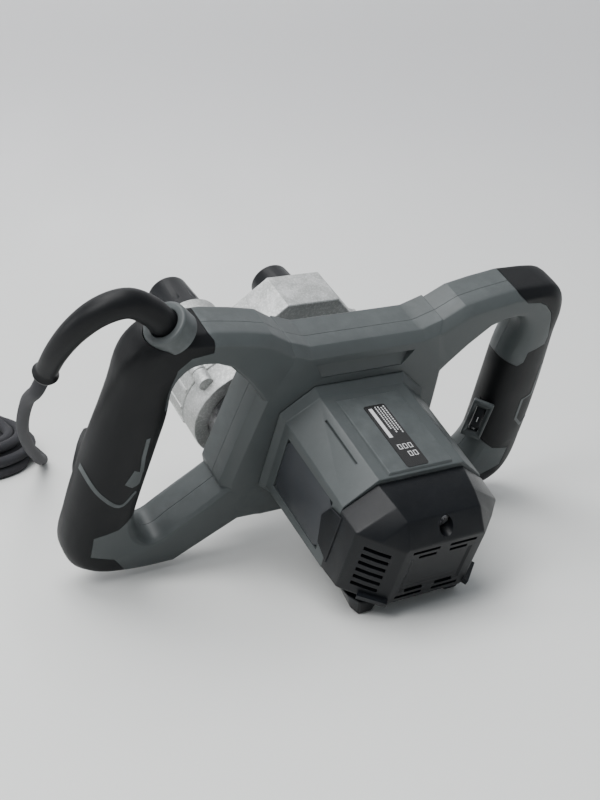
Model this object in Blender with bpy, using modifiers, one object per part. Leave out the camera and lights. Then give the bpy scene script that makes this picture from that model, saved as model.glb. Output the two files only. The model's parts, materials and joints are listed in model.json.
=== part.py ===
"""Power unit of a dual-spindle hand mixer: D-handled frame, universal motor, gearbox and coupling sleeves.

The machine is modelled in its own frame, in millimetres: u runs from handle to handle, v towards the
upper arms and w along the motor axis towards the end cap, with w = 0 on the motor side of the frame.
The empty 'machine' then lays it down on the lower edges of its handles and the feet of its end cap.
"""
import math

import bmesh
import bpy
from mathutils import Matrix, Vector

MM = 0.001
GAP = 0.3

# Frame
FRAME_DEPTH = 34.6
TOP_EDGE = 83.0
BOTTOM_EDGE = -73.0
HANDLE_LOW_EDGE = -102.4
COVER_THICKNESS = 3.0
CENTRE_BORE = 40.0
FRAME_EDGE = 3.5

# Motor housing and end cap
HOUSING_LENGTH = 84.0
COLLAR_LENGTH = 6.4
HOUSING_BORE = 42.5
HOUSING_LIP = 36.0
HOUSING_LIP_LENGTH = 4.3
HOUSING_HALF_WIDTH = 55.3
HOUSING_HALF_HEIGHT = 47.8
CAP_LENGTH = 42.2
CAP_WALL = 3.0
CAP_SCREW_V = 33.0
CAP_SCREW_HOLE = 2.3
CAP_FOOT_U = 35.5
CAP_FOOT_V = 44.4
CAP_FOOT_W = 115.0

# Gear train: module and teeth fix every centre distance
SPINDLE_U = 46.0
SPINDLE_V = -13.9
OUTPUT_MODULE = 2.0
OUTPUT_TEETH = 34
PINION_TEETH = 10
IDLER_TEETH = 20
INPUT_MODULE = 1.0
INPUT_TEETH = 44
MOTOR_PINION_TEETH = 10
LAYER_A = (-67.0, -59.0)
LAYER_B = (-93.0, -79.0)

# Gearbox
PLATE_FRONT = -FRAME_DEPTH - GAP
PLATE_DEPTH = 14.8
PLATE_LOBE = 31.0
CASE_LOBE = 41.0
CASE_WALL = 3.8
CASE_FLOOR = 4.0
CASE_SEAM = -70.0
CASE_BACK = -104.0
BLOCK_TOP = 63.5
BLOCK_HALF_TOP = 21.0
INNER_TOP = 48.5
CASE_WAIST = -47.0
BOSS_RADIUS = 25.0
BOSS_END = -152.0
SOCKET_FLOOR = -138.0
BEARING_OUTER = 16.0

# Spindles and coupling sleeves
SPINDLE_RADIUS = 8.0
SPINDLE_END = -182.0
SPINDLE_HEX = 6.2
SPINDLE_HEX_DEPTH = 14.0
SLEEVE_TIP = -193.0
SLEEVE_TIP_RADIUS = 16.6
SLEEVE_BASE = -146.0
SLEEVE_BASE_RADIUS = 20.0
SLEEVE_FLUTES = 8

# Motor
SHAFT_RADIUS = 5.0
STATOR = (14.0, 58.0)
STATOR_BORE = 34.0
WINDING_BORE = 26.5
CORE_RADIUS = 24.5
COMMUTATOR_RADIUS = 14.0
COMMUTATOR = (66.0, 80.0)
FAN = (-22.0, -7.0)
FAN_RADIUS = 36.0
FAN_BLADES = 9
BEARING_RADIUS = 11.0

# Left grip: switch and trigger; right grip: speed wheel
GRIP_U = 164.0
POCKET_WIDTH = 20.0
POCKET_W = (-27.3, -7.3)
TRIGGER_WIDTH = 24.0
TRIGGER_TOP = 15.0
TRIGGER_LOW = -41.0
TRIGGER_PIVOT = (12.0, -29.5)
BUTTON_V = 27.0
BUTTON_RADIUS = 5.0
WHEEL_RADIUS = 14.0
WHEEL_WIDTH = 7.0
WHEEL_OUT = 2.6
WHEEL_SEAT = (137.5, -22.0, -8.0)
BEZEL = (16.0, 36.0, 3.4)

# Cord
RING_CENTRE = (-151.0, 114.0, -13.2)
RING_RADIUS = 15.0
RING_LENGTH = 14.0
SLEEVE_RADIUS = 9.0
CORD_RADIUS = 4.5
COIL_RADIUS = 50.0
COIL_HALF_WIDTH = 13.8
COIL_HEIGHT = 27.6

# Tilt of the lying machine: from the handles' lower edge to the end cap's feet
TILT = math.atan2(-HANDLE_LOW_EDGE - CAP_FOOT_V, CAP_FOOT_W)

COLOURS = {
    "grey_plastic": ((0.105, 0.115, 0.118), 0.5, 0.0),
    "black_rubber": ((0.012, 0.012, 0.014), 0.6, 0.0),
    "black_plastic": ((0.016, 0.017, 0.02), 0.42, 0.0),
    "cast_aluminium": ((0.42, 0.43, 0.44), 0.45, 1.0),
    "steel": ((0.5, 0.5, 0.5), 0.35, 1.0),
    "copper": ((0.6, 0.25, 0.12), 0.4, 1.0),
    "iron": ((0.2, 0.2, 0.21), 0.5, 1.0),
    "label": ((0.01, 0.01, 0.012), 0.3, 0.0),
    "button_red": ((0.35, 0.02, 0.02), 0.45, 0.0),
}


# ---------------------------------------------------------------- scene

def clear_scene():
    for obj in list(bpy.data.objects):
        bpy.data.objects.remove(obj, do_unlink=True)


def new_collection(name):
    collection = bpy.data.collections.new(name)
    bpy.context.scene.collection.children.link(collection)
    return collection


def material_for(name, look):
    colour, roughness, metallic = COLOURS[look]
    mat = bpy.data.materials.new(name + "_material")
    mat.use_nodes = True
    shader = mat.node_tree.nodes["Principled BSDF"]
    shader.inputs["Base Color"].default_value = (*colour, 1.0)
    shader.inputs["Roughness"].default_value = roughness
    shader.inputs["Metallic"].default_value = metallic
    return mat


clear_scene()
PARTS = new_collection("dual_spindle_mixer")
TOOLS = new_collection("cutters")
MACHINE = bpy.data.objects.new("machine", None)
PARTS.objects.link(MACHINE)
MACHINE.rotation_euler = (math.radians(90) + TILT, 0, 0)


def mesh_from(bm, name, origin=(0, 0, 0)):
    """Mesh in metres around origin, from a bmesh in millimetres."""
    bmesh.ops.recalc_face_normals(bm, faces=bm.faces)
    bmesh.ops.translate(bm, verts=bm.verts, vec=-Vector(origin))
    bmesh.ops.scale(bm, verts=bm.verts, vec=(MM, MM, MM))
    mesh = bpy.data.meshes.new(name)
    bm.to_mesh(mesh)
    bm.free()
    return mesh


def part(name, bm, look, origin=(0, 0, 0), smooth=False):
    """Named sub-part, its origin at a point of the machine frame."""
    mesh = mesh_from(bm, name, origin)
    if smooth:
        mesh.shade_smooth()
        mesh.set_sharp_from_angle(angle=math.radians(35))
    obj = bpy.data.objects.new(name, mesh)
    obj.data.materials.append(material_for(name, look))
    PARTS.objects.link(obj)
    obj.parent = MACHINE
    obj.location = Vector(origin) * MM
    return obj


def tool(name, bm):
    """Cutter or joining body, left out of the model."""
    obj = bpy.data.objects.new(name, mesh_from(bm, name))
    TOOLS.objects.link(obj)
    obj.parent = MACHINE
    obj.hide_render = True
    obj.display_type = "WIRE"
    return obj


def boolean(obj, operation, bm, label="tool"):
    modifier = obj.modifiers.new(operation.lower(), "BOOLEAN")
    modifier.operation = operation
    modifier.solver = "EXACT"
    modifier.object = bm if isinstance(bm, bpy.types.Object) else tool(obj.name + "_" + label, bm)
    return modifier


def cut(obj, *shapes):
    for shape in shapes:
        boolean(obj, "DIFFERENCE", shape, "cutter")


def fuse(obj, *shapes):
    for shape in shapes:
        boolean(obj, "UNION", shape, "body")


# ---------------------------------------------------------------- shapes (bmesh, millimetres)

def box(low, high, edge=0.0):
    bm = bmesh.new()
    bmesh.ops.create_cube(bm, size=1.0)
    size = [b - a for a, b in zip(low, high)]
    bmesh.ops.scale(bm, verts=bm.verts, vec=size)
    if edge:
        bmesh.ops.bevel(bm, geom=list(bm.edges), offset=edge, segments=1, profile=0.5, affect="EDGES")
    bmesh.ops.translate(bm, verts=bm.verts, vec=[(a + b) / 2 for a, b in zip(low, high)])
    return bm


def cylinder(centre, radius, low, high, sides=20):
    """Cylinder along w between two values of w."""
    bm = bmesh.new()
    bmesh.ops.create_cone(bm, cap_ends=True, segments=sides, radius1=radius, radius2=radius,
                          depth=high - low)
    bmesh.ops.translate(bm, verts=bm.verts, vec=(centre[0], centre[1], (low + high) / 2))
    return bm


def turned(profile, centre=(0, 0, 0), axis=(0, 0, 1), sides=20):
    """Closed profile of (radius, height) points, turned about an axis through centre."""
    obj = bpy.data.objects.new("turning", bpy.data.meshes.new("turning"))
    TOOLS.objects.link(obj)
    bm = bmesh.new()
    verts = [bm.verts.new((radius, 0, height)) for radius, height in profile]
    closed = all(radius > 0 for radius, _ in profile)
    for start, end in zip(verts, verts[1:] + (verts[:1] if closed else [])):
        bm.edges.new((start, end))
    bm.to_mesh(obj.data)
    bm.free()
    screw = obj.modifiers.new("turn", "SCREW")
    screw.steps = sides
    screw.render_steps = sides
    screw.use_merge_vertices = True
    screw.merge_threshold = 0.0001
    out = read_shape(obj)
    bpy.data.objects.remove(obj, do_unlink=True)
    bmesh.ops.transform(out, matrix=placed(centre, axis), verts=out.verts)
    return out


def placed(centre, axis):
    return Matrix.Translation(Vector(centre)) @ Vector(axis).to_track_quat("Z", "Y").to_matrix().to_4x4()


def ring(inner, outer, low, high, centre=(0, 0, 0), axis=(0, 0, 1), sides=20, edge=0.0):
    profile = [(outer, high - edge), (outer, low + edge)]
    if edge:
        profile += [(outer - edge, low)]
    profile += [(inner, low), (inner, high)]
    if edge:
        profile += [(outer - edge, high)]
    return turned(profile, centre, axis, sides)


def rod(steps, centre=(0, 0, 0), axis=(0, 0, 1), sides=12):
    """Stepped round bar from (radius, low, high) stretches, top to bottom."""
    profile = [(0, steps[0][2])]
    for radius, low, high in steps:
        profile += [(radius, high), (radius, low)]
    profile += [(0, steps[-1][1])]
    return turned(profile, centre, axis, sides)


def read_shape(obj):
    """Evaluated shape of a helper object as a welded bmesh."""
    bpy.context.view_layer.update()
    mesh = bpy.data.meshes.new_from_object(obj.evaluated_get(bpy.context.evaluated_depsgraph_get()))
    bm = bmesh.new()
    bm.from_mesh(mesh)
    bpy.data.meshes.remove(mesh)
    bmesh.ops.remove_doubles(bm, verts=bm.verts, dist=0.0005)
    return bm


def slab(outline, low, high):
    """Flat outline of (u, v) points, extruded between two values of w."""
    curve = bpy.data.curves.new("outline", "CURVE")
    curve.dimensions = "2D"
    curve.fill_mode = "BOTH"
    curve.extrude = (high - low) / 2
    spline = curve.splines.new("POLY")
    spline.points.add(len(outline) - 1)
    for point, (x, y) in zip(spline.points, outline):
        point.co = (x, y, 0, 1)
    spline.use_cyclic_u = True
    obj = bpy.data.objects.new("outline", curve)
    TOOLS.objects.link(obj)
    bm = read_shape(obj)
    bpy.data.objects.remove(obj, do_unlink=True)
    bmesh.ops.dissolve_limit(bm, angle_limit=math.radians(0.5), verts=bm.verts, edges=bm.edges)
    bmesh.ops.translate(bm, verts=bm.verts, vec=(0, 0, (low + high) / 2))
    return bm


def tube_shape(points, radius, sides=2):
    """Round tube through points, as a curve read back as a mesh."""
    obj = tube_object("tube", points, radius, sides, TOOLS)
    bm = read_shape(obj)
    bpy.data.objects.remove(obj, do_unlink=True)
    return bm


def tube_object(name, points, radius, sides, collection):
    curve = bpy.data.curves.new(name, "CURVE")
    curve.dimensions = "3D"
    curve.bevel_depth = radius
    curve.bevel_resolution = sides
    curve.use_fill_caps = True
    spline = curve.splines.new("POLY")
    spline.points.add(len(points) - 1)
    for place, point in zip(spline.points, points):
        place.co = (*point, 1)
    obj = bpy.data.objects.new(name, curve)
    collection.objects.link(obj)
    return obj


def loft(sections):
    """Closed solid through sections with the same number of points."""
    bm = bmesh.new()
    rows = [[bm.verts.new(point) for point in section] for section in sections]
    count = len(rows[0])
    for row, following in zip(rows, rows[1:]):
        for i in range(count):
            j = (i + 1) % count
            bm.faces.new((row[i], row[j], following[j], following[i]))
    bm.faces.new(rows[0])
    bm.faces.new(rows[-1])
    return bm


def octagon(w, top, top_v, side, side_v, inset=0.0):
    """Eight corners with a flat top, flat sides and diagonal corners."""
    top_v, side = top_v - inset, side - inset
    top, side_v = top - inset * 0.4, side_v - inset * 0.4
    quarter = [(top, top_v), (side, side_v)]
    right = quarter + [(x, -y) for x, y in reversed(quarter)]
    return [(x, y, w) for x, y in right] + [(-x, y, w) for x, y in reversed(right)]


def arc(centre, radius, start, end, steps):
    """Points on an arc, angles in degrees."""
    angles = [math.radians(start + (end - start) * i / steps) for i in range(steps + 1)]
    return [(centre[0] + radius * math.cos(a), centre[1] + radius * math.sin(a)) for a in angles]


def mirrored(outline):
    return [(-x, y) for x, y in reversed(outline)]


def smooth_route(points, spacing):
    """Evenly spaced points on a smooth curve through the given points."""
    ends = [points[0] * 2 - points[1]] + points + [points[-1] * 2 - points[-2]]
    fine = []
    for a, b, c, d in zip(ends, ends[1:], ends[2:], ends[3:]):
        for i in range(24):
            t = i / 24
            fine.append(0.5 * (b * 2 + (c - a) * t + (a * 2 - b * 5 + c * 4 - d) * t ** 2
                               + (b * 3 - a - c * 3 + d) * t ** 3))
    fine.append(points[-1])
    length = sum((b - a).length for a, b in zip(fine, fine[1:]))
    count = max(2, round(length / spacing))
    route, walked, target = [fine[0]], 0.0, length / count
    for a, b in zip(fine, fine[1:]):
        step = (b - a).length
        while walked + step >= target and len(route) < count:
            route.append(a.lerp(b, (target - walked) / step))
            target += length / count
        walked += step
    return route + [fine[-1]]


# ---------------------------------------------------------------- frame

def loop_stations():
    """Right-hand loop from the centre over the grip and back: outer edge, inner edge, squareness."""
    low = HANDLE_LOW_EDGE
    return [
        ((40, TOP_EDGE - 1), (58, 26), 7), ((58, 87.5), (75.6, 50), 7), ((76.8, 99), (88, 65), 7),
        ((96, 103.3), (103, 79.5), 6), ((118, 106.8), (113, 83.8), 6), ((140, 107), (122, 84.8), 5.5),
        ((156, 105.6), (129, 82.5), 5), ((167, 97), (133.5, 77), 4.5), ((173, 84), (136.3, 70), 4),
        ((175.8, 65), (137, 60), 3.4), ((180.6, 40), (135.5, 42), 2.8), ((184.3, 19), (137.6, 19), 2.6),
        ((187, 0), (139.5, 0), 2.6), ((189.9, -24), (141.9, -24), 2.6), ((191.5, -45), (143.3, -43), 2.8),
        ((192.2, -62), (142.5, -54), 3.2), ((190, -76), (139, -64), 3.8), ((183.5, -87), (134, -70), 4.5),
        ((170, -95), (128.5, -72), 5), ((150, low + 1.8), (122, -69), 5), ((130, low), (114, -61), 5.5),
        ((111.5, low + 0.6), (104, -53), 6), ((88, -86.7), (90, -41), 7), ((64.5, -71.5), (78, -30), 7),
        ((44, BOTTOM_EDGE + 1), (60, -18), 7),
    ]


def loop(side, shrink=0.0, points=12):
    """One D-shaped handle loop as a loft; side is 1 or -1."""
    sections = []
    stations = loop_stations()
    for index, (outer, inner, square) in enumerate(stations):
        outer, inner = Vector(outer), Vector(inner)
        middle = (outer + inner) / 2
        across = (outer - inner).normalized()
        half_width = (outer - inner).length / 2 - shrink
        inside_centre = index in (0, len(stations) - 1)
        half_depth = FRAME_DEPTH / 2 - shrink - (0.9 if inside_centre else 0.0)
        section = []
        for i in range(points):
            angle = math.tau * (i + 0.5) / points
            c, s = math.cos(angle), math.sin(angle)
            x = math.copysign(abs(c) ** (2 / square), c) * half_width
            z = math.copysign(abs(s) ** (2 / square), s) * half_depth
            spot = middle + across * x
            section.append((side * spot.x, spot.y, z - FRAME_DEPTH / 2))
        sections.append(section)
    return loft(sections)


def centre_outline():
    half = [(44, TOP_EDGE), (61, 89.5), (75, 52), (79.5, 20), (86, -30), (77, -56), (61, BOTTOM_EDGE + 2.6),
            (48, BOTTOM_EDGE)]
    return half + mirrored(half)


def centre_block():
    bm = slab(centre_outline(), -FRAME_DEPTH, 0)
    rims = [edge for edge in bm.edges if abs(edge.verts[0].co.z - edge.verts[1].co.z) < 0.1]
    bmesh.ops.bevel(bm, geom=rims, offset=FRAME_EDGE, segments=2, profile=0.5, affect="EDGES")
    return bm


def cover_outline(side, inset=0.0):
    """Field of the rubber cover in the (u, v) plane; inset shrinks it towards the grip."""
    upper = [(118, 107), (120, 104.5), (128.2, 98.1), (140, 96.8), (147.4, 93.5), (155.3, 85.9),
             (158.7, 78.8), (164.5, 61.7), (164.2, 54.8), (151, 48.5), (150.9, 39), (147, 35.5), (128, 41)]
    lower = [(130, -36), (138.8, -37.2), (159.2, -51.2), (176, -54.6), (175.7, -73.1), (157.3, -80.9),
             (146, -97)]
    frame_edge = [(144, -112), (205, -112), (205, 122), (116, 122)]
    points = [Vector(point) for point in upper + lower + frame_edge]
    moved = []
    for before, here, after in zip(points[-1:] + points[:-1], points, points[1:] + points[:1]):
        first, second = (here - before).normalized(), (after - here).normalized()
        normal = Vector((-(first + second).y, (first + second).x)).normalized()
        lean = max(0.5, normal.dot(Vector((-first.y, first.x))))
        moved.append(here + normal * inset / lean)
    outline = [(side * point.x, point.y) for point in moved]
    return outline if side > 0 else outline[::-1]


def cover_field(side, inset=0.0):
    return slab(cover_outline(side, inset), -FRAME_DEPTH - 5, 5)


def gland_axis():
    return Vector((-1, 1, 0)).normalized()


def gland_point(distance):
    return Vector(RING_CENTRE) + gland_axis() * distance


def gland_seat():
    """Recess of the ring and bore of the bend sleeve."""
    return turned([(0, 30), (RING_RADIUS + GAP, 30), (RING_RADIUS + GAP, -RING_LENGTH - GAP),
                   (SLEEVE_RADIUS + GAP, -RING_LENGTH - GAP), (SLEEVE_RADIUS + GAP, -24), (0, -24)],
                  RING_CENTRE, gland_axis())


def trigger_slot():
    half = TRIGGER_WIDTH / 2 + 0.8
    return box((-GRIP_U - half, TRIGGER_LOW - 1.5, -60), (-GRIP_U + half, TRIGGER_TOP + 2, -17))


def button_hole():
    return cylinder((-GRIP_U, BUTTON_V), BUTTON_RADIUS + 0.4, -60, -20, 20)


def wheel_frame():
    """Axes of the speed wheel's seat: across, along the grip, outwards."""
    outwards = Vector((-1, 0, 1)).normalized()
    along = Vector((0, 1, 0))
    return along.cross(outwards), along, outwards


def at_wheel_seat(bm):
    across, along, outwards = wheel_frame()
    turn = Matrix((across, along, outwards)).transposed().to_4x4()
    bmesh.ops.transform(bm, matrix=Matrix.Translation(Vector(WHEEL_SEAT)) @ turn, verts=bm.verts)
    return bm


def wheel_recess():
    """Seat of the bezel, open outwards."""
    x, y, z = (size / 2 + GAP for size in BEZEL)
    return at_wheel_seat(box((-x, -y, -z), (x, y, 30)))


def wheel_slot():
    half = WHEEL_WIDTH / 2 + 0.6
    reach = WHEEL_RADIUS + 1.0
    return at_wheel_seat(box((-half, -reach, -2 * WHEEL_RADIUS - 0.5), (half, reach, 0)))


def pocket(side, low, high):
    half = POCKET_WIDTH / 2
    return box((side * GRIP_U - half, low, POCKET_W[0]), (side * GRIP_U + half, high, POCKET_W[1]))


def wire_channel(side):
    points = [(GRIP_U, 30), (160, 76), (150, 93), (120, 95), (98, 90), (74, 72), (36, 30)]
    route = [Vector((side * x, y, -FRAME_DEPTH / 2)) for x, y in points]
    return tube_shape(route, 3.2, 1)


def frame_screw_places():
    return [(side * u, v) for side in (-1, 1) for u, v in ((44, 74), (90, -66))]


def build_frame():
    for name, low, high in (("frame_motor_side", -FRAME_DEPTH / 2 + GAP / 2, 20),
                            ("frame_gear_side", -60, -FRAME_DEPTH / 2 - GAP / 2)):
        half = part(name, centre_block(), "grey_plastic")
        for side in (1, -1):
            fuse(half, loop(side))
            cut(half, cover_field(side))
            fuse(half, loop(side, COVER_THICKNESS))
            cut(half, wire_channel(side))
        cut(half, cylinder((0, 0), CENTRE_BORE, -50, 10, 32))
        cut(half, pocket(-1, TRIGGER_LOW - 3, 34), pocket(1, 2, 40))
        cut(half, wheel_recess(), wheel_slot(), gland_seat())
        boolean(half, "INTERSECT", box((-260, -160, low), (260, 180, high)), "half")
        if name == "frame_gear_side":
            cut(half, trigger_slot(), button_hole())
            for place in frame_screw_places():
                cut(half, cylinder(place, 4.4, -50, -30.2, 12), cylinder(place, 2.4, -31, -10, 8))
        else:
            for place in frame_screw_places():
                cut(half, cylinder(place, 2.4, -31, -7.5, 8))
            cut(half, box((-39.8, 69, -4), (39.8, 73, 3)))
    for number, place in enumerate(frame_screw_places(), 1):
        part(f"frame_screw_{number}", rod([(2.0, -30.5, -8.2), (4.0, -33.8, -30.5)], (*place, 0), sides=8),
             "steel", (*place, -20))


def build_covers():
    """Rubber covers round the grips, over the core of the frame."""
    for name, side in (("grip_cover_left", -1), ("grip_cover_right", 1)):
        cover = part(name, loop(side), "black_rubber")
        boolean(cover, "INTERSECT", cover_field(side, GAP), "field")
        cut(cover, loop(side, COVER_THICKNESS - GAP))
        if side < 0:
            cut(cover, trigger_slot(), button_hole(), gland_seat())
        else:
            cut(cover, wheel_recess(), wheel_slot())


# ---------------------------------------------------------------- controls

def build_trigger():
    v, w = TRIGGER_PIVOT
    depth = -FRAME_DEPTH
    profile = [(TRIGGER_TOP, w + 4), (TRIGGER_TOP, depth - 0.5), (TRIGGER_TOP - 8, depth - 8),
               (-12, depth - 13.5), (TRIGGER_LOW + 8, depth - 15), (TRIGGER_LOW, depth - 10),
               (TRIGGER_LOW, w + 4.5), (TRIGGER_LOW + 6, w + 5.5), (-8, w + 4)]
    bm = slab(profile, -TRIGGER_WIDTH / 2, TRIGGER_WIDTH / 2)
    turn = Matrix(((0, 0, 1), (1, 0, 0), (0, 1, 0))).to_4x4()
    bmesh.ops.transform(bm, matrix=Matrix.Translation((-GRIP_U, 0, 0)) @ turn, verts=bm.verts)
    part("trigger", bm, "black_plastic", (-GRIP_U, v, w))


def build_controls():
    build_trigger()
    part("lock_button", rod([(BUTTON_RADIUS, -37.6, -23.5)], (-GRIP_U, BUTTON_V, 0)), "button_red",
         (-GRIP_U, BUTTON_V, -30))
    half = POCKET_WIDTH / 2 - GAP
    switch = box((-GRIP_U - half, -34, POCKET_W[1] - 10), (-GRIP_U + half, 32, POCKET_W[1] - GAP))
    part("switch_module", switch, "black_plastic", (-GRIP_U, 0, -12))
    part("speed_module", box((GRIP_U - half, 4, POCKET_W[0] + GAP), (GRIP_U + half, 38, POCKET_W[1] - GAP)),
         "black_plastic", (GRIP_U, 20, -17))
    x, y, z = (size / 2 for size in BEZEL)
    bezel = part("speed_wheel_bezel", at_wheel_seat(box((-x, -y, -z), (x, y, z), 0.8)), "grey_plastic",
                 WHEEL_SEAT)
    cut(bezel, at_wheel_seat(box((-WHEEL_WIDTH / 2 - 0.5, -12, -10), (WHEEL_WIDTH / 2 + 0.5, 12, 10))))
    across, along, outwards = wheel_frame()
    hub = Vector(WHEEL_SEAT) + outwards * (BEZEL[2] / 2 + WHEEL_OUT - WHEEL_RADIUS)
    half = WHEEL_WIDTH / 2
    wheel = turned([(WHEEL_RADIUS, half - 1), (WHEEL_RADIUS, 1 - half), (WHEEL_RADIUS - 1, -half),
                    (3, -half), (3, half), (WHEEL_RADIUS - 1, half)], hub, across, 28)
    part("speed_wheel", wheel, "black_plastic", hub)


# ---------------------------------------------------------------- motor

def build_housing():
    end = GAP + HOUSING_LENGTH
    width, height = HOUSING_HALF_WIDTH, HOUSING_HALF_HEIGHT
    housing = part("motor_housing", loft([
        octagon(GAP, 35.6, height + 5.1, width + 2.6, 33.6),
        octagon(GAP + COLLAR_LENGTH, 33.8, height, width, 30.4),
        octagon(end, 33.7, height - 1.0, width - 0.5, 28.5)]), "grey_plastic")
    cut(housing, cylinder((0, 0), HOUSING_BORE, -5, end - HOUSING_LIP_LENGTH, 32),
        cylinder((0, 0), HOUSING_LIP, end - HOUSING_LIP_LENGTH - 1, end + 5, 32))
    for name, side in (("side_panel_left", -1), ("side_panel_right", 1)):
        inner, outer = width - 2.0, width - 0.5
        low, high = sorted((side * (inner - GAP), side * (width + 5)))
        cut(housing, box((low, -22 - GAP, 14 - GAP), (high, 22 + GAP, 74 + GAP)))
        low, high = sorted((side * inner, side * outer))
        part(name, box((low, -22, 14), (high, 22, 74), 0.4), "black_plastic", (side * inner, 0, 44))
    label = box((-10, height + 0.1, 23), (7, height + 0.5, 81))
    part("rating_label", label, "label", (-1.5, height, 52))


def cap_sections(inset=0.0):
    start = 2 * GAP + HOUSING_LENGTH
    end = start + CAP_LENGTH
    first = start - 3 if inset else start
    last = end - inset
    return [
        octagon(first, 33.7, 43.3, HOUSING_HALF_WIDTH + 0.9, 26, inset),
        octagon(start + 19.4 - inset / 2, 30.5, 41.3, HOUSING_HALF_WIDTH + 0.4, 25, inset),
        octagon(start + 31 - inset, 28.3, 39.1, 44, 24.8, inset),
        octagon(last, 29.5, 25.5, 31, 23.5, inset)]


def build_end_cap():
    start = 2 * GAP + HOUSING_LENGTH
    end = start + CAP_LENGTH
    cap = part("end_cap", loft(cap_sections()), "black_plastic")
    hollow = tool("end_cap_hollow", loft(cap_sections(CAP_WALL)))
    for side in (-1, 1):
        cut(hollow, cylinder((0, side * CAP_SCREW_V), 8, 96, 140, 24))
    cut(cap, hollow)
    for side in (-1, 1):
        place = (0, side * CAP_SCREW_V)
        cut(cap, cylinder(place, 5.3, 112, 140, 24), cylinder(place, CAP_SCREW_HOLE, 90, 113, 12))
        name = "end_cap_screw_upper" if side > 0 else "end_cap_screw_lower"
        part(name, rod([(4.9, 112.3, 116), (2.0, 82, 112.3)], (*place, 0), sides=16), "steel",
             (*place, 100))
        fuse(cap, box((side * CAP_FOOT_U - 8, -CAP_FOOT_V, CAP_FOOT_W - 6),
                      (side * CAP_FOOT_U + 8, -32, CAP_FOOT_W + 3), 1.6))
        wall = HOUSING_HALF_WIDTH - 0.1
        low, high = sorted((side * wall, side * (wall + 1.8)))
        tongue = slab([(-18, start + 4), (-12, 74), (20, 75), (23, start + 4)], low, high)
        turn = Matrix(((0, 0, 1), (1, 0, 0), (0, 1, 0))).to_4x4()
        bmesh.ops.transform(tongue, matrix=turn, verts=tongue.verts)
        fuse(cap, tongue)
        for v in (9, 15, 21):
            for u in (-15, 15):
                cut(cap, box((u - 10, side * v - 1.3, end - 8), (u + 10, side * v + 1.3, end + 5)))
    for side in (-1, 1):
        for row in range(6):
            v = -16 + row * 6.4
            slot = box((-9, v - 1.6, -8), (9, v + 1.6, 8))
            centre = (side * 43.5, 0, end - 11.5)
            lean = Matrix.Rotation(side * math.atan2(21.8, 24.5), 4, "Y")
            bmesh.ops.transform(slot, matrix=Matrix.Translation(centre) @ lean, verts=slot.verts)
            cut(cap, slot)
    seat = BEARING_RADIUS + GAP
    profile = [(38.8, start + 3.5), (38.8, start), (seat, start), (seat, start + 13), (15, start + 13),
               (15, start + 3.5)]
    bracket = part("rear_bearing_bracket", turned(profile), "cast_aluminium")
    for side in (-1, 1):
        cut(bracket, cylinder((0, side * CAP_SCREW_V), CAP_SCREW_HOLE, 70, 120, 12))
        cut(bracket, cylinder((side * 26, 0), 8, 70, 120, 24))


def build_motor():
    part("stator_core", ring(STATOR_BORE, HOUSING_BORE - GAP, *STATOR, sides=32), "iron")
    for name, turn in (("field_winding_left", 180), ("field_winding_right", 0)):
        outline = arc((0, 0), STATOR_BORE - GAP, turn - 60, turn + 60, 14)
        outline += arc((0, 0), WINDING_BORE, turn + 60, turn - 60, 12)
        part(name, slab(outline, STATOR[0] - 5, STATOR[1] + 5), "copper")
    rear = 2 * GAP + HOUSING_LENGTH
    shaft = [(4.0, rear + 1, rear + 14), (SHAFT_RADIUS, -46, rear + 1), (2.0, -67.5, -46)]
    part("armature_shaft", rod(shaft), "steel", smooth=True)
    part("armature_core", ring(SHAFT_RADIUS + GAP, CORE_RADIUS, *STATOR), "iron", smooth=True)
    part("commutator", ring(SHAFT_RADIUS + GAP, COMMUTATOR_RADIUS, *COMMUTATOR), "copper", smooth=True)
    part("rear_bearing", ring(4.0 + GAP, BEARING_RADIUS, rear + 2.5, rear + 11.5), "steel", smooth=True)
    part("front_bearing", ring(SHAFT_RADIUS + GAP, BEARING_RADIUS, PLATE_FRONT - 9, PLATE_FRONT - GAP),
         "steel", smooth=True)
    fan = part("cooling_fan", ring(SHAFT_RADIUS + GAP, FAN_RADIUS, FAN[0], FAN[0] + 2), "black_plastic")
    fuse(fan, ring(SHAFT_RADIUS + GAP, 11, FAN[0], FAN[1]))
    for blade in range(FAN_BLADES):
        bm = box((9, -1, FAN[0] + 1), (FAN_RADIUS - 1, 1, FAN[1]))
        bmesh.ops.rotate(bm, verts=bm.verts, matrix=Matrix.Rotation(math.tau * blade / FAN_BLADES, 3, "Z"))
        fuse(fan, bm)
    mid = sum(COMMUTATOR) / 2
    for word, side in (("left", -1), ("right", 1)):
        low, high = sorted((side * 17, side * 41))
        holder = part("brush_holder_" + word, box((low, -6, mid - 6.4), (high, 6, mid + 6.7)),
                      "black_plastic", (side * 29, 0, mid))
        cut(holder, box((-50, -3.6, mid - 3.6), (50, 3.6, mid + 3.6)))
        low, high = sorted((side * (COMMUTATOR_RADIUS + 0.4), side * 34))
        part("carbon_brush_" + word, box((low, -3.3, mid - 3.3), (high, 3.3, mid + 3.3)), "iron",
             (side * 24, 0, mid))


# ---------------------------------------------------------------- gearbox

def centre_distance(module, first, second):
    return module * (first + second) / 2


def meeting_point(first, first_distance, second, second_distance):
    """Upper point at given distances from two centres."""
    first, second = Vector(first), Vector(second)
    gap = second - first
    along = (first_distance ** 2 - second_distance ** 2 + gap.length_squared) / (2 * gap.length)
    rise = math.sqrt(first_distance ** 2 - along ** 2)
    direction = gap.normalized()
    normal = Vector((-direction.y, direction.x))
    if normal.y < 0:
        normal.negate()
    return first + direction * along + normal * rise


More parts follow.
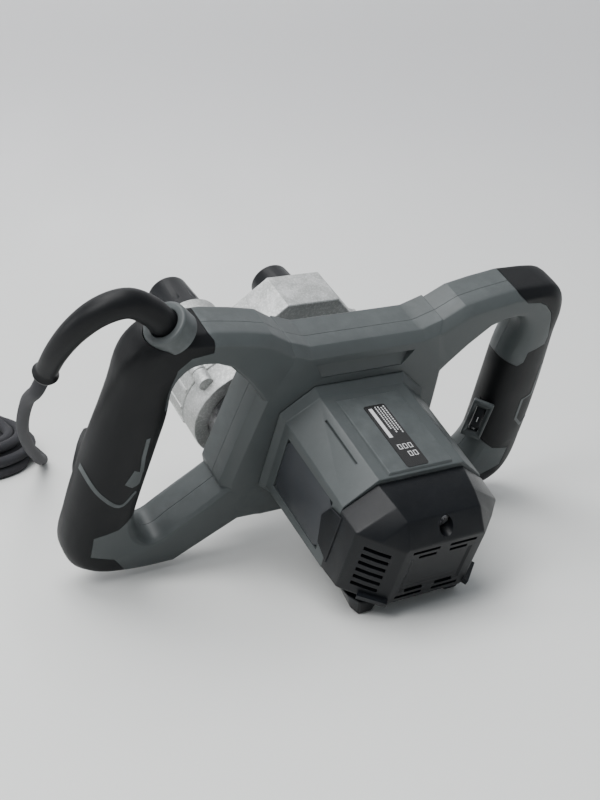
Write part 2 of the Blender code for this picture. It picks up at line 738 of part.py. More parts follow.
RIGHT = Vector((SPINDLE_U, SPINDLE_V))
LEFT = Vector((-SPINDLE_U, SPINDLE_V))
INTERMEDIATE = meeting_point((0, 0), centre_distance(INPUT_MODULE, MOTOR_PINION_TEETH, INPUT_TEETH),
                             RIGHT, centre_distance(OUTPUT_MODULE, PINION_TEETH, OUTPUT_TEETH))
IDLER = meeting_point(LEFT, centre_distance(OUTPUT_MODULE, IDLER_TEETH, OUTPUT_TEETH),
                      INTERMEDIATE, centre_distance(OUTPUT_MODULE, PINION_TEETH, IDLER_TEETH))


def gear_outline(module, teeth, phase):
    """Straight-sided teeth, thin enough to leave backlash; phase is the angle of one tooth."""
    radius = module * teeth / 2
    pitch = math.tau / teeth
    outline = []
    for tooth in range(teeth):
        for share, height in ((-0.25, -1.15), (-0.09, 0.8), (0.09, 0.8), (0.25, -1.15)):
            angle = phase + pitch * (tooth + share)
            reach = radius + module * height
            outline.append((reach * math.cos(angle), reach * math.sin(angle)))
    return outline


def gear(name, module, teeth, phase, layer, centre, bore):
    outline = [(x + centre[0], y + centre[1]) for x, y in gear_outline(module, teeth, phase)]
    obj = part(name, slab(outline, *layer), "steel", (*centre, sum(layer) / 2))
    cut(obj, cylinder(centre, bore, layer[0] - 5, layer[1] + 5, 24))
    return obj


def meshing_phase(first, first_teeth, first_phase, second, second_teeth):
    """Phase of the second gear, so that its gaps meet the first gear's teeth."""
    line = Vector(second) - Vector(first)
    angle = math.atan2(line.y, line.x)
    share = (angle - first_phase) / (math.tau / first_teeth)
    return angle + math.pi + (0.5 + share) * math.tau / second_teeth


def build_gears():
    pinion_bore = 2.0 + GAP
    gear("motor_pinion", INPUT_MODULE, MOTOR_PINION_TEETH, 0, LAYER_A, (0, 0), pinion_bore)
    phase = meshing_phase((0, 0), MOTOR_PINION_TEETH, 0, INTERMEDIATE, INPUT_TEETH)
    gear("intermediate_wheel", INPUT_MODULE, INPUT_TEETH, phase, LAYER_A, INTERMEDIATE, 5.0 + GAP)
    phase = 0.0
    shaft = part("intermediate_shaft", rod([(5.0, LAYER_B[1] - 1, -54.8), (4.0, -99.6, LAYER_B[1] - 1)],
                                           (*INTERMEDIATE, 0)), "steel", (*INTERMEDIATE, -75))
    teeth = gear_outline(OUTPUT_MODULE, PINION_TEETH, phase)
    fuse(shaft, slab([(x + INTERMEDIATE.x, y + INTERMEDIATE.y) for x, y in teeth], *LAYER_B))
    right_phase = meshing_phase(INTERMEDIATE, PINION_TEETH, phase, RIGHT, OUTPUT_TEETH)
    idler_phase = meshing_phase(INTERMEDIATE, PINION_TEETH, phase, IDLER, IDLER_TEETH)
    left_phase = meshing_phase(IDLER, IDLER_TEETH, idler_phase, LEFT, OUTPUT_TEETH)
    gear("idler_gear", OUTPUT_MODULE, IDLER_TEETH, idler_phase, LAYER_B, IDLER, 4.0 + GAP)
    part("idler_pin", rod([(4.0, -99.6, LAYER_B[1] + 1.5)], (*IDLER, 0)), "steel", (*IDLER, -88))
    bore = SPINDLE_RADIUS + GAP
    gear("output_gear_right", OUTPUT_MODULE, OUTPUT_TEETH, right_phase, LAYER_B, RIGHT, bore)
    gear("output_gear_left", OUTPUT_MODULE, OUTPUT_TEETH, left_phase, LAYER_B, LEFT, bore)


def case_outline(lobe, top_half, top, waist):
    """Two lobes round the spindles, a chamfered top and a straight waist below."""
    centre = (SPINDLE_U, SPINDLE_V)
    start = -180 - math.degrees(math.asin((waist - SPINDLE_V) / lobe))
    distance = (top_half + top - SPINDLE_U - SPINDLE_V) / math.sqrt(2)
    end = 45 + math.degrees(math.acos(min(1.0, distance / lobe)))
    half = arc(centre, lobe, start, end, 20) + [(top_half, top)]
    return half + mirrored(half)


def boss_profile():
    """Spindle boss of the outer case: bearing seat, bore and the socket round the sleeve."""
    bore, socket, seat = SPINDLE_RADIUS + 0.6, SLEEVE_BASE_RADIUS + 0.8, BEARING_OUTER + GAP
    return [(31, CASE_BACK + 2), (31, CASE_BACK - 3), (BOSS_RADIUS, CASE_BACK - 8),
            (BOSS_RADIUS, BOSS_END + 1), (BOSS_RADIUS - 1, BOSS_END),
            (socket, BOSS_END), (socket, SOCKET_FLOOR), (bore, SOCKET_FLOOR),
            (bore, CASE_BACK - 8), (seat, CASE_BACK - 8), (seat, CASE_BACK + 2)]


def case_screw_places():
    angles = [math.radians(-75), math.radians(38)]
    reach = CASE_LOBE + 2
    return [(side * (SPINDLE_U + reach * math.cos(a)), SPINDLE_V + reach * math.sin(a))
            for side in (-1, 1) for a in angles]


def build_mount_plate():
    outline = case_outline(PLATE_LOBE, 16, 44, -38)
    plate = part("gearbox_mount_plate", slab(outline, PLATE_FRONT - PLATE_DEPTH, PLATE_FRONT), "iron")
    cut(plate, cylinder((0, 0), BEARING_RADIUS + GAP, PLATE_FRONT - 9.5, 0), cylinder((0, 0), 7, -80, 0))


def build_inner_case():
    front = PLATE_FRONT - PLATE_DEPTH - GAP
    floor = front - CASE_FLOOR
    seam = CASE_SEAM + GAP / 2
    outer = case_outline(CASE_LOBE, BLOCK_HALF_TOP + 9, INNER_TOP, CASE_WAIST)
    inner = case_outline(CASE_LOBE - CASE_WALL, BLOCK_HALF_TOP + 7, INNER_TOP - CASE_WALL,
                         CASE_WAIST + CASE_WALL)
    near = part("gear_case_inner", slab(outer, seam, front), "cast_aluminium")
    cut(near, slab(inner, seam - 5, floor), cylinder((0, 0), 7, -80, 0))
    fuse(near, ring(5 + GAP, 9, LAYER_A[1] + GAP, floor + 1, (*INTERMEDIATE, 0)))
    for centre in (LEFT, RIGHT):
        fuse(near, ring(7 + GAP, 13, -66, floor + 1, (*centre, 0)))
    for place in case_screw_places():
        fuse(near, cylinder(place, 5.6, seam, -58, 10))
        cut(near, cylinder(place, 2.3, -80, -59, 8))


def build_outer_case():
    seam = CASE_SEAM - GAP / 2
    outer = case_outline(CASE_LOBE, BLOCK_HALF_TOP, BLOCK_TOP, CASE_WAIST)
    inner = case_outline(CASE_LOBE - CASE_WALL, BLOCK_HALF_TOP - 2, BLOCK_TOP - CASE_WALL - 4,
                         CASE_WAIST + CASE_WALL)
    far = part("gear_case_outer", slab(outer, CASE_BACK, seam), "cast_aluminium")
    cut(far, slab(inner, CASE_BACK + CASE_FLOOR, LAYER_B[1] + 2))
    mouth = case_outline(CASE_LOBE - CASE_WALL, BLOCK_HALF_TOP - 2, INNER_TOP - CASE_WALL,
                         CASE_WAIST + CASE_WALL)
    cut(far, slab(mouth, LAYER_B[1] + 1, seam + 5))
    for centre in (INTERMEDIATE, IDLER):
        fuse(far, cylinder(centre, 8, CASE_BACK + 1, LAYER_B[0] - GAP - 0.5, 16))
        cut(far, cylinder(centre, 4 + GAP, CASE_BACK + 4, -80, 12))
    for place in case_screw_places():
        fuse(far, cylinder(place, 5.6, -88, seam, 10))
        cut(far, cylinder(place, 2.4, -90, -60, 8), cylinder(place, 4.6, CASE_BACK - 5, -88, 12))
    for word, centre in (("left", LEFT), ("right", RIGHT)):
        cut(far, cylinder(centre, BEARING_OUTER + 4, CASE_BACK - 5, CASE_BACK + 10, 24))
        fuse(far, turned(boss_profile(), (*centre, 0)))
        bearing = ring(SPINDLE_RADIUS + GAP, BEARING_OUTER, CASE_BACK - 7.7, CASE_BACK + 3.5, (*centre, 0))
        part("spindle_bearing_" + word, bearing, "steel", (*centre, CASE_BACK))


def build_gearbox():
    build_mount_plate()
    build_inner_case()
    build_outer_case()
    for number, place in enumerate(case_screw_places(), 1):
        screw = rod([(2.0, -88.3, -60), (4.0, -92, -88.3)], (*place, 0), sides=8)
        part(f"gear_case_screw_{number}", screw, "steel", (*place, -80))


def build_spindles():
    for word, centre in (("left", LEFT), ("right", RIGHT)):
        steps = [(7.0, -70, -54.3), (SPINDLE_RADIUS, SPINDLE_END, -70)]
        spindle = part("spindle_" + word, rod(steps, (*centre, 0)), "steel", (*centre, 0), smooth=True)
        cut(spindle, cylinder(centre, SPINDLE_HEX, SPINDLE_END - 5, SPINDLE_END + SPINDLE_HEX_DEPTH, 6))
        profile = [(SLEEVE_BASE_RADIUS - 1, SLEEVE_BASE), (SLEEVE_BASE_RADIUS, SLEEVE_BASE - 1),
                   (SLEEVE_BASE_RADIUS - 0.4, -156), (SLEEVE_TIP_RADIUS + 0.6, SLEEVE_TIP + 5),
                   (SLEEVE_TIP_RADIUS - 0.6, SLEEVE_TIP + 1.6), (SLEEVE_TIP_RADIUS - 3, SLEEVE_TIP),
                   (10.5, SLEEVE_TIP), (10.5, SPINDLE_END + 4), (SPINDLE_RADIUS + 0.5, SPINDLE_END + 4),
                   (SPINDLE_RADIUS + 0.5, SLEEVE_BASE)]
        sleeve = part("coupling_sleeve_" + word, turned(profile, (*centre, 0), sides=16), "black_plastic",
                      (*centre, 0))
        for flute in range(SLEEVE_FLUTES):
            angle = math.tau * (flute + 0.5) / SLEEVE_FLUTES
            place = (centre[0] + 22.6 * math.cos(angle), centre[1] + 22.6 * math.sin(angle))
            cut(sleeve, cylinder(place, 5, SLEEVE_TIP - 5, -160, 6))


# ---------------------------------------------------------------- cord

BEND_SLEEVE_ROUTE = [(-176.4, 132.1, -13.2), (-192.2, 127.5, -14.4), (-204.5, 113.7, -17.2),
                     (-211.7, 93.7, -22.2), (-213.5, 70.8, -29.6)]


def build_gland():
    part("cord_gland_ring", ring(SLEEVE_RADIUS + GAP, RING_RADIUS, -RING_LENGTH, 0, RING_CENTRE,
                                 gland_axis(), edge=1.6), "grey_plastic", RING_CENTRE)
    points = [gland_point(-22), gland_point(-11), gland_point(0), gland_point(14)]
    points += [Vector(point) for point in BEND_SLEEVE_ROUTE]
    route = smooth_route(points, 9.0)
    sleeve = part("bend_sleeve", tube_shape(route, SLEEVE_RADIUS, 3), "black_rubber", RING_CENTRE)
    return sleeve, route


# The cord's own points are metres on the surface that the machine lies on
CORD_ROUTE = [(-0.2050, 0.025, 0.135), (-0.1870, 0.092, 0.096), (-0.1580, 0.168, 0.054),
              (-0.1310, 0.226, 0.021), (-0.1150, 0.262, 0.0062), (-0.1125, 0.2745, 0.0050)]
COIL_CENTRE = (-0.172, 0.308)
PLUG_LENGTH = 62.0
PLUG_RADIUS = 18.5
PLUG_PIN_SPREAD = 9.5


def build_cord(start, ahead):
    """Free stretch from the end of the bend sleeve to the coil, in metres."""
    points = [start + ahead * 2 * GAP * MM, start + ahead * 4 * CORD_RADIUS * MM]
    points += [Vector(point) for point in CORD_ROUTE]
    cord = tube_object("cord", smooth_route(points, 5 * CORD_RADIUS * MM), CORD_RADIUS * MM, 2, PARTS)
    cord.data.materials.append(material_for("cord", "black_rubber"))


def build_coil():
    inner, outer = COIL_RADIUS - COIL_HALF_WIDTH, COIL_RADIUS + COIL_HALF_WIDTH
    edge = COIL_HEIGHT / 4
    low, high = 0.2, 0.2 + COIL_HEIGHT
    profile = [(outer - edge, high), (outer, high - edge), (outer, low + edge), (outer - edge, low),
               (inner + edge, low), (inner, low + edge), (inner, high - edge), (inner + edge, high)]
    coil = part("cord_coil", turned(profile, sides=32), "black_rubber")
    coil.parent = None
    coil.location = (*COIL_CENTRE, 0)


def build_plug():
    """Two-pin plug beside the coil, its own strain relief against the coil's outer turn."""
    profile = [(0, PLUG_LENGTH), (5.0, PLUG_LENGTH), (6.5, 30), (12.0, 26), (PLUG_RADIUS, 18),
               (PLUG_RADIUS, -2), (PLUG_RADIUS - 2, -4), (PLUG_RADIUS - 2, -10), (0, -10)]
    plug = part("plug", turned(profile), "black_plastic")
    for side in (-1, 1):
        fuse(plug, cylinder((side * PLUG_PIN_SPREAD, 0), 2.3, -29, -8, 10))
    for modifier in plug.modifiers:
        modifier.object.parent = plug
    plug.parent = None
    plug.rotation_euler = (math.radians(-90), 0, 0)
    outer = COIL_RADIUS + COIL_HALF_WIDTH
    aside = COIL_RADIUS + COIL_HALF_WIDTH - CORD_RADIUS
    touch = math.sqrt(outer ** 2 - (aside - 5.0 - GAP) ** 2)
    plug.location = (COIL_CENTRE[0] - aside * MM, COIL_CENTRE[1] - (touch + PLUG_LENGTH) * MM,
                     (PLUG_RADIUS + 0.2) * MM)


def set_down(excluded):
    """Move the machine so that its box stands on z = 0, centred on the origin."""
    bpy.context.view_layer.update()
    graph = bpy.context.evaluated_depsgraph_get()
    corners = []
    for obj in PARTS.objects:
        if obj.type != "MESH" or obj.name in excluded:
            continue
        evaluated = obj.evaluated_get(graph)
        corners += [evaluated.matrix_world @ vertex.co for vertex in evaluated.data.vertices]
    low = Vector([min(corner[axis] for corner in corners) for axis in range(3)])
    high = Vector([max(corner[axis] for corner in corners) for axis in range(3)])
    MACHINE.location = -Vector(((low.x + high.x) / 2, (low.y + high.y) / 2, low.z))
    bpy.context.view_layer.update()


def main():
    build_frame()
    build_covers()
    build_controls()
    build_housing()
    build_end_cap()
    build_motor()
    build_gearbox()
    build_gears()
    build_spindles()
    sleeve, route = build_gland()
    set_down({"bend_sleeve"})
    end = MACHINE.matrix_world @ (route[-1] * MM)
    ahead = (MACHINE.matrix_world.to_3x3() @ (route[-1] - route[-2])).normalized()
    build_cord(end, ahead)
    build_coil()
    build_plug()
    print("machine origin", [round(value * 1000, 1) for value in MACHINE.location], "sleeve end",
          [round(value * 1000, 1) for value in end])


main()
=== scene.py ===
"""Dual-spindle hand mixer, power unit: the visual model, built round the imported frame.

Pieces are modelled in the machine's own axes in millimetres: u from handle to handle, v towards the
upper arms and w along the motor axis towards the end cap. PLACE then lays them down in the frame.
"""
import json
import math

import bmesh
import bpy
from bpy.props import FloatProperty, FloatVectorProperty, IntProperty
from mathutils import Matrix, Vector


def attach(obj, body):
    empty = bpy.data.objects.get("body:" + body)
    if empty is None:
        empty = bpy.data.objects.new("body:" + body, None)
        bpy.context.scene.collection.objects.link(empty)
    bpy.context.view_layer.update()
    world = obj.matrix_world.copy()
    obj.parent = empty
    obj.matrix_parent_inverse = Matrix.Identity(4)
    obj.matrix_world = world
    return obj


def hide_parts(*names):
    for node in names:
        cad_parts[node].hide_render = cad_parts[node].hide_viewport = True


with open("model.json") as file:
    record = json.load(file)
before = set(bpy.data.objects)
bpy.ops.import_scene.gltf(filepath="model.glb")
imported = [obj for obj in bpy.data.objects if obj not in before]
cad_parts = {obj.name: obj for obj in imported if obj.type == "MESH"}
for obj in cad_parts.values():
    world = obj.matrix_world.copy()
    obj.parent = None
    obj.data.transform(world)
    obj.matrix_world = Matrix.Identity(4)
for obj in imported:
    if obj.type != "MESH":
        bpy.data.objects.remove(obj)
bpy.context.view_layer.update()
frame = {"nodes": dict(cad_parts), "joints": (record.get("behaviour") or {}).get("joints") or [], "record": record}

bl_info = {
    "name": "Dual-spindle hand mixer",
    "version": (1, 0, 0),
    "blender": (4, 5, 0),
    "location": "View3D > Sidebar > Mixer",
    "description": "Builds the visual model of a dual-spindle hand mixer round its frame",
    "category": "Object",
}

MM = 0.001
GAP = 0.3

# Placement of the machine: the armature turns about the motor axis, through the machine's own origin
MOTOR_AXIS = next(joint for joint in frame["joints"] if joint["name"] == "armature_spin")
ORIGIN = Vector(MOTOR_AXIS["pos_m"])
TILT = math.atan2(MOTOR_AXIS["axis"][2], MOTOR_AXIS["axis"][1])
PLACE = (Matrix.Translation(ORIGIN) @ Matrix.Rotation(math.radians(90) + TILT, 4, "X")
         @ Matrix.Scale(MM, 4))

# Frame, in machine millimetres
FRAME_DEPTH = 34.6
TOP_EDGE = 83.0
BOTTOM_EDGE = -73.0
HANDLE_LOW_EDGE = -102.4
COVER_THICKNESS = 3.0
CENTRE_BORE = 40.0
RIM_POINTS = 4

# Motor housing and end cap
HOUSING_LENGTH = 84.0
COLLAR_LENGTH = 6.4
HOUSING_HALF_WIDTH = 55.3
HOUSING_HALF_HEIGHT = 47.8
PANEL_RISE = 0.9
CAP_LENGTH = 42.2
CAP_START = 2 * GAP + HOUSING_LENGTH
CAP_END = CAP_START + CAP_LENGTH
CAP_SCREW_V = 33.0
CAP_FOOT_LOW = -44.4

# Gearbox and couplings
SPINDLE_U = 46.0
SPINDLE_V = -13.9
PLATE_BACK = -49.7
CASE_LOBE = 41.0
CASE_WALL = 3.8
CASE_SEAM = -70.0
CASE_BACK = -104.0
BLOCK_TOP = 63.5
BLOCK_HALF_TOP = 21.0
INNER_TOP = 48.5
CASE_WAIST = -47.0
BOSS_RADIUS = 25.0
BOSS_END = -152.0
SLEEVE_TIP = -193.0
SLEEVE_BASE = -146.0
SLEEVE_BASE_RADIUS = 20.0
SLEEVE_TIP_RADIUS = 16.6

# Controls
GRIP_U = 164.0
TRIGGER_WIDTH = 24.0
TRIGGER_TOP = 15.0
TRIGGER_LOW = -41.0
TRIGGER_PIVOT_W = -29.5
BUTTON_V = 27.0
BUTTON_RADIUS = 5.0
WHEEL_SEAT = Vector((137.5, -22.0, -8.0))
WHEEL_RADIUS = 14.0
WHEEL_WIDTH = 7.0
WHEEL_OUT = 2.6
BEZEL = (16.0, 36.0, 3.4)

# Cord
RING_CENTRE = Vector((-151.0, 114.0, -13.2))
RING_RADIUS = 15.0
RING_LENGTH = 14.0
GLAND_AXIS = Vector((-1, 1, 0)).normalized()
SLEEVE_RADIUS = 9.0
SLEEVE_ROUTE = [(-176.4, 132.1, -13.2), (-192.2, 127.5, -14.4), (-204.5, 113.7, -17.2),
                (-211.7, 93.7, -22.2), (-213.5, 70.8, -29.6)]
CORD_ROUTE = [(-0.2050, 0.025, 0.135), (-0.1870, 0.092, 0.096), (-0.1580, 0.168, 0.054),
              (-0.1310, 0.226, 0.021), (-0.1150, 0.262, 0.0062), (-0.1125, 0.2745, 0.0050)]
COIL_CENTRE = Vector((-0.172, 0.308, 0.0))
PLUG_RADIUS = 18.5
PLUG_LENGTH = 62.0
PLUG_REAR = Vector((-0.2313, 0.2740, 0.0187))


# ---------------------------------------------------------------- settings

class MixerSizes(bpy.types.PropertyGroup):
    """Sizes of the details that the frame leaves open."""
    frame_chamfer: FloatProperty(
        name="Frame chamfer", description="Chamfer round the front of the frame", default=0.0062,
        min=0.001, max=0.009, unit="LENGTH")
    shell_edge: FloatProperty(
        name="Shell edge", description="Rounding of the edges of the plastic shells", default=0.0009,
        min=0.0002, max=0.003, unit="LENGTH")
    casting_edge: FloatProperty(
        name="Casting edge", description="Rounding of the edges of the gear case", default=0.0016,
        min=0.0003, max=0.004, unit="LENGTH")
    cord_diameter: FloatProperty(
        name="Cord diameter", description="Outside diameter of the mains lead", default=0.009,
        min=0.006, max=0.012, unit="LENGTH")
    coil_step: FloatProperty(
        name="Coil step", description="Distance between neighbouring turns of the coil", default=0.0091,
        min=0.009, max=0.012, unit="LENGTH")
    sleeve_flutes: IntProperty(
        name="Sleeve flutes", description="Finger flutes round each coupling sleeve", default=8,
        min=4, max=12)
    cooling_slots: IntProperty(
        name="Cooling slots", description="Slots in each side of the end cap", default=6, min=3, max=8)


class MixerColours(bpy.types.PropertyGroup):
    """Colours of the finishes."""
    frame_grey: FloatVectorProperty(
        name="Frame grey", description="Moulded plastic of the frame and the motor housing", size=3,
        subtype="COLOR", default=(0.062, 0.070, 0.071), min=0.0, max=1.0)
    panel_grey: FloatVectorProperty(
        name="Panel grey", description="Inset panels beside the motor", size=3,
        subtype="COLOR", default=(0.026, 0.029, 0.034), min=0.0, max=1.0)
    grip_black: FloatVectorProperty(
        name="Grip black", description="Rubber over the grips", size=3,
        subtype="COLOR", default=(0.0042, 0.0046, 0.0055), min=0.0, max=1.0)
    cap_black: FloatVectorProperty(
        name="Cap black", description="End cap, couplings and controls", size=3,
        subtype="COLOR", default=(0.0040, 0.0047, 0.0060), min=0.0, max=1.0)
    casting: FloatVectorProperty(
        name="Casting", description="Cast aluminium of the gearbox", size=3,
        subtype="COLOR", default=(0.56, 0.57, 0.56), min=0.0, max=1.0)
    steel: FloatVectorProperty(
        name="Steel", description="Screws, shafts, gears and bearings", size=3,
        subtype="COLOR", default=(0.52, 0.52, 0.53), min=0.0, max=1.0)
    button_red: FloatVectorProperty(
        name="Button red", description="Lock-on button", size=3,
        subtype="COLOR", default=(0.35, 0.02, 0.02), min=0.0, max=1.0)
    table_white: FloatVectorProperty(
        name="Table white", description="Floor under the machine", size=3,
        subtype="COLOR", default=(0.74, 0.745, 0.725), min=0.0, max=1.0)
    wall_grey: FloatVectorProperty(
        name="Wall grey", description="Backdrop", size=3,
        subtype="COLOR", default=(0.66, 0.655, 0.665), min=0.0, max=1.0)


def sizes():
    return bpy.context.scene.mixer_sizes


def colours():
    return bpy.context.scene.mixer_colours


# ---------------------------------------------------------------- shapes (bmesh, machine millimetres)

def bevel(bm, edges, width, segments=2):
    bmesh.ops.bevel(bm, geom=edges, offset=width, segments=segments, profile=0.5, affect="EDGES",
                    clamp_overlap=True)
    return bm


def sharp_edges(bm, angle=28.0):
    bmesh.ops.recalc_face_normals(bm, faces=bm.faces)
    return [edge for edge in bm.edges
            if edge.is_manifold and edge.calc_face_angle() > math.radians(angle)]


def softened(bm, width, angle=28.0, segments=2):
    return bevel(bm, sharp_edges(bm, angle), width, segments)


def box(low, high, edge=0.0):
    bm = bmesh.new()
    bmesh.ops.create_cube(bm, size=1.0)
    bmesh.ops.scale(bm, verts=bm.verts, vec=[b - a for a, b in zip(low, high)])
    bmesh.ops.translate(bm, verts=bm.verts, vec=[(a + b) / 2 for a, b in zip(low, high)])
    return bevel(bm, list(bm.edges), edge) if edge else bm


def rod(centre, radius, low, high, sides=48, edge=0.0):
    """Round bar along w between two values of w."""
    bm = bmesh.new()
    bmesh.ops.create_cone(bm, cap_ends=True, segments=sides, radius1=radius, radius2=radius, depth=high - low)
    bmesh.ops.translate(bm, verts=bm.verts, vec=(centre[0], centre[1], (low + high) / 2))
    return softened(bm, edge, 60) if edge else bm


def facing(centre, axis):
    return Matrix.Translation(Vector(centre)) @ Vector(axis).to_track_quat("Z", "Y").to_matrix().to_4x4()


def turned(profile, centre=(0, 0, 0), axis=(0, 0, 1), sides=64):
    """Closed profile of (radius, height) points, turned about an axis through centre."""
    bm = bmesh.new()
    rows = []
    for radius, height in profile:
        if radius <= 0:
            rows.append([bm.verts.new((0, 0, height))])
            continue
        angles = [math.tau * i / sides for i in range(sides)]
        rows.append([bm.verts.new((radius * math.cos(a), radius * math.sin(a), height)) for a in angles])
    closed = all(radius > 0 for radius, _ in profile)
    for row, following in zip(rows, rows[1:] + (rows[:1] if closed else [])):
        for i in range(sides):
            corners = [row[i % len(row)], row[(i + 1) % len(row)],
                       following[(i + 1) % len(following)], following[i % len(following)]]
            bm.faces.new(list(dict.fromkeys(corners)))
    bm.transform(facing(centre, axis))
    bmesh.ops.recalc_face_normals(bm, faces=bm.faces)
    return bm


def slab(outline, low, high, rim=0.0, segments=2):
    """Flat outline of (u, v) points, extruded between two values of w, its rims rounded."""
    bm = bmesh.new()
    lower = [bm.verts.new((x, y, low)) for x, y in outline]
    upper = [bm.verts.new((x, y, high)) for x, y in outline]
    bm.faces.new(lower)
    bm.faces.new(upper)
    count = len(outline)
    for i in range(count):
        j = (i + 1) % count
        bm.faces.new((lower[i], lower[j], upper[j], upper[i]))
    bmesh.ops.recalc_face_normals(bm, faces=bm.faces)
    if rim:
        rims = [edge for edge in bm.edges if abs(edge.verts[0].co.z - edge.verts[1].co.z) < 1e-4]
        bevel(bm, rims, rim, segments)
    return bm


def loft(sections, closed_ends=True):
    """Skin through sections with the same number of points."""
    bm = bmesh.new()
    rows = [[bm.verts.new(point) for point in section] for section in sections]
    count = len(rows[0])
    for row, following in zip(rows, rows[1:]):
        for i in range(count):
            j = (i + 1) % count
            bm.faces.new((row[i], row[j], following[j], following[i]))
    if closed_ends:
        bm.faces.new(rows[0])
        bm.faces.new(rows[-1])
    bmesh.ops.recalc_face_normals(bm, faces=bm.faces)
    return bm


def arc(centre, radius, start, end, steps):
    """Points on an arc, angles in degrees."""
    angles = [math.radians(start + (end - start) * i / steps) for i in range(steps + 1)]
    return [(centre[0] + radius * math.cos(a), centre[1] + radius * math.sin(a)) for a in angles]


def mirrored(outline):
    return [(-x, y) for x, y in reversed(outline)]


def joined(*shapes):
    """Several shapes in one bmesh, left as separate closed shells."""
    whole = bmesh.new()
    for bm in shapes:
        mesh = bpy.data.meshes.new("joining")
        bm.to_mesh(mesh)
        bm.free()
        whole.from_mesh(mesh)
        bpy.data.meshes.remove(mesh)
    return whole


def helper(bm):
    mesh = bpy.data.meshes.new("helper")
    bm.to_mesh(mesh)
    bm.free()
    obj = bpy.data.objects.new("helper", mesh)
    bpy.context.scene.collection.objects.link(obj)
    return obj


def combined(operation, base, *shapes):
    """Boolean of base with each shape in turn, read back as a bmesh."""
    obj = helper(base)
    others = []
    for bm in shapes:
        other = helper(bm)
        modifier = obj.modifiers.new("combine", "BOOLEAN")
        modifier.operation = operation
        modifier.solver = "EXACT"
        modifier.object = other
        others.append(other)
    bpy.context.view_layer.update()
    mesh = bpy.data.meshes.new_from_object(obj.evaluated_get(bpy.context.evaluated_depsgraph_get()))
    result = bmesh.new()
    result.from_mesh(mesh)
    bpy.data.meshes.remove(mesh)
    for used in [obj] + others:
        data = used.data
        bpy.data.objects.remove(used, do_unlink=True)
        bpy.data.meshes.remove(data)
    bmesh.ops.remove_doubles(result, verts=result.verts, dist=0.002)
    return result


def cut(base, *shapes):
    return combined("DIFFERENCE", base, *shapes)


def fuse(base, *shapes):
    return combined("UNION", base, *shapes)


def shared(base, *shapes):
    return combined("INTERSECT", base, *shapes)


def piece(name, bm, material, body="machine", node=None, crease=32.0):
    """Visible piece from a bmesh in machine millimetres; node is what it stands for in the frame."""
    bmesh.ops.recalc_face_normals(bm, faces=bm.faces)
    bm.transform(PLACE)
    mesh = bpy.data.meshes.new(name)
    bm.to_mesh(mesh)
    bm.free()
    mesh.shade_smooth()
    mesh.set_sharp_from_angle(angle=math.radians(crease))
    mesh.materials.append(material)
    obj = bpy.data.objects.new(name, mesh)
    bpy.context.scene.collection.objects.link(obj)
    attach(obj, body)
    if node:
        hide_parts(node)
    return obj


def smooth_points(points, spacing):
    """Evenly spaced points on a smooth curve through the given points."""
    ends = [points[0] * 2 - points[1]] + points + [points[-1] * 2 - points[-2]]
    fine = []
    for a, b, c, d in zip(ends, ends[1:], ends[2:], ends[3:]):
        for i in range(24):
            t = i / 24
            fine.append(0.5 * (b * 2 + (c - a) * t + (a * 2 - b * 5 + c * 4 - d) * t ** 2
                               + (b * 3 - a - c * 3 + d) * t ** 3))
    fine.append(points[-1])
    length = sum((b - a).length for a, b in zip(fine, fine[1:]))
    count = max(2, round(length / spacing))
    route, walked, target = [fine[0]], 0.0, length / count
    for a, b in zip(fine, fine[1:]):
        step = (b - a).length
        while walked + step >= target and len(route) < count:
            route.append(a.lerp(b, (target - walked) / step))
            target += length / count
        walked += step
    return route + [fine[-1]]


def swept(route, radii, sides=24):
    """Round skin along a route, with its own radius at every point."""
    sections = []
    ahead = (route[1] - route[0]).normalized()
    across = ahead.orthogonal().normalized()
    for index, (point, radius) in enumerate(zip(route, radii)):
        before, after = route[max(index - 1, 0)], route[min(index + 1, len(route) - 1)]
        direction = (after - before).normalized()
        across = (across - direction * across.dot(direction)).normalized()
        other = direction.cross(across)
        angles = [math.tau * i / sides for i in range(sides)]
        sections.append([point + (across * math.cos(a) + other * math.sin(a)) * radius for a in angles])
    return loft(sections)


# ---------------------------------------------------------------- finishes

def effect(name, inputs, outputs):
    """Empty shader node group with number sockets; returns its tree, input node and output node."""
    tree = bpy.data.node_groups.new(name, "ShaderNodeTree")
    for label, default in inputs:
        socket = tree.interface.new_socket(label, in_out="INPUT", socket_type="NodeSocketFloat")
        socket.default_value = default
    for label in outputs:
        tree.interface.new_socket(label, in_out="OUTPUT", socket_type="NodeSocketFloat")
    return tree, tree.nodes.new("NodeGroupInput"), tree.nodes.new("NodeGroupOutput")


def add(tree, kind, links=None, **settings):
    """Shader node with its settings, its sockets given as values or as the sockets that feed them."""
    made = tree.nodes.new("ShaderNode" + kind)
    for label, value in settings.items():
        setattr(made, label, value)
    for socket, source in (links or {}).items():
        if isinstance(source, bpy.types.NodeSocket):
            tree.links.new(source, made.inputs[socket])
        else:
            made.inputs[socket].default_value = source
    return made


def product(tree, first, second):
    return add(tree, "Math", {0: first, 1: second}, operation="MULTIPLY").outputs[0]


def noise(tree, place, scale, detail=3.0, roughness=0.55):
    links = {"Vector": place, "Scale": scale, "Detail": detail, "Roughness": roughness}
    return add(tree, "TexNoise", links).outputs["Fac"]


def ranged(tree, source, low, high, to_low=0.0, to_high=1.0):
    links = {"Value": source, "From Min": low, "From Max": high, "To Min": to_low, "To Max": to_high}
    return add(tree, "MapRange", links, clamp=True).outputs[0]


def place_in(tree):
    return add(tree, "TexCoord").outputs["Object"]


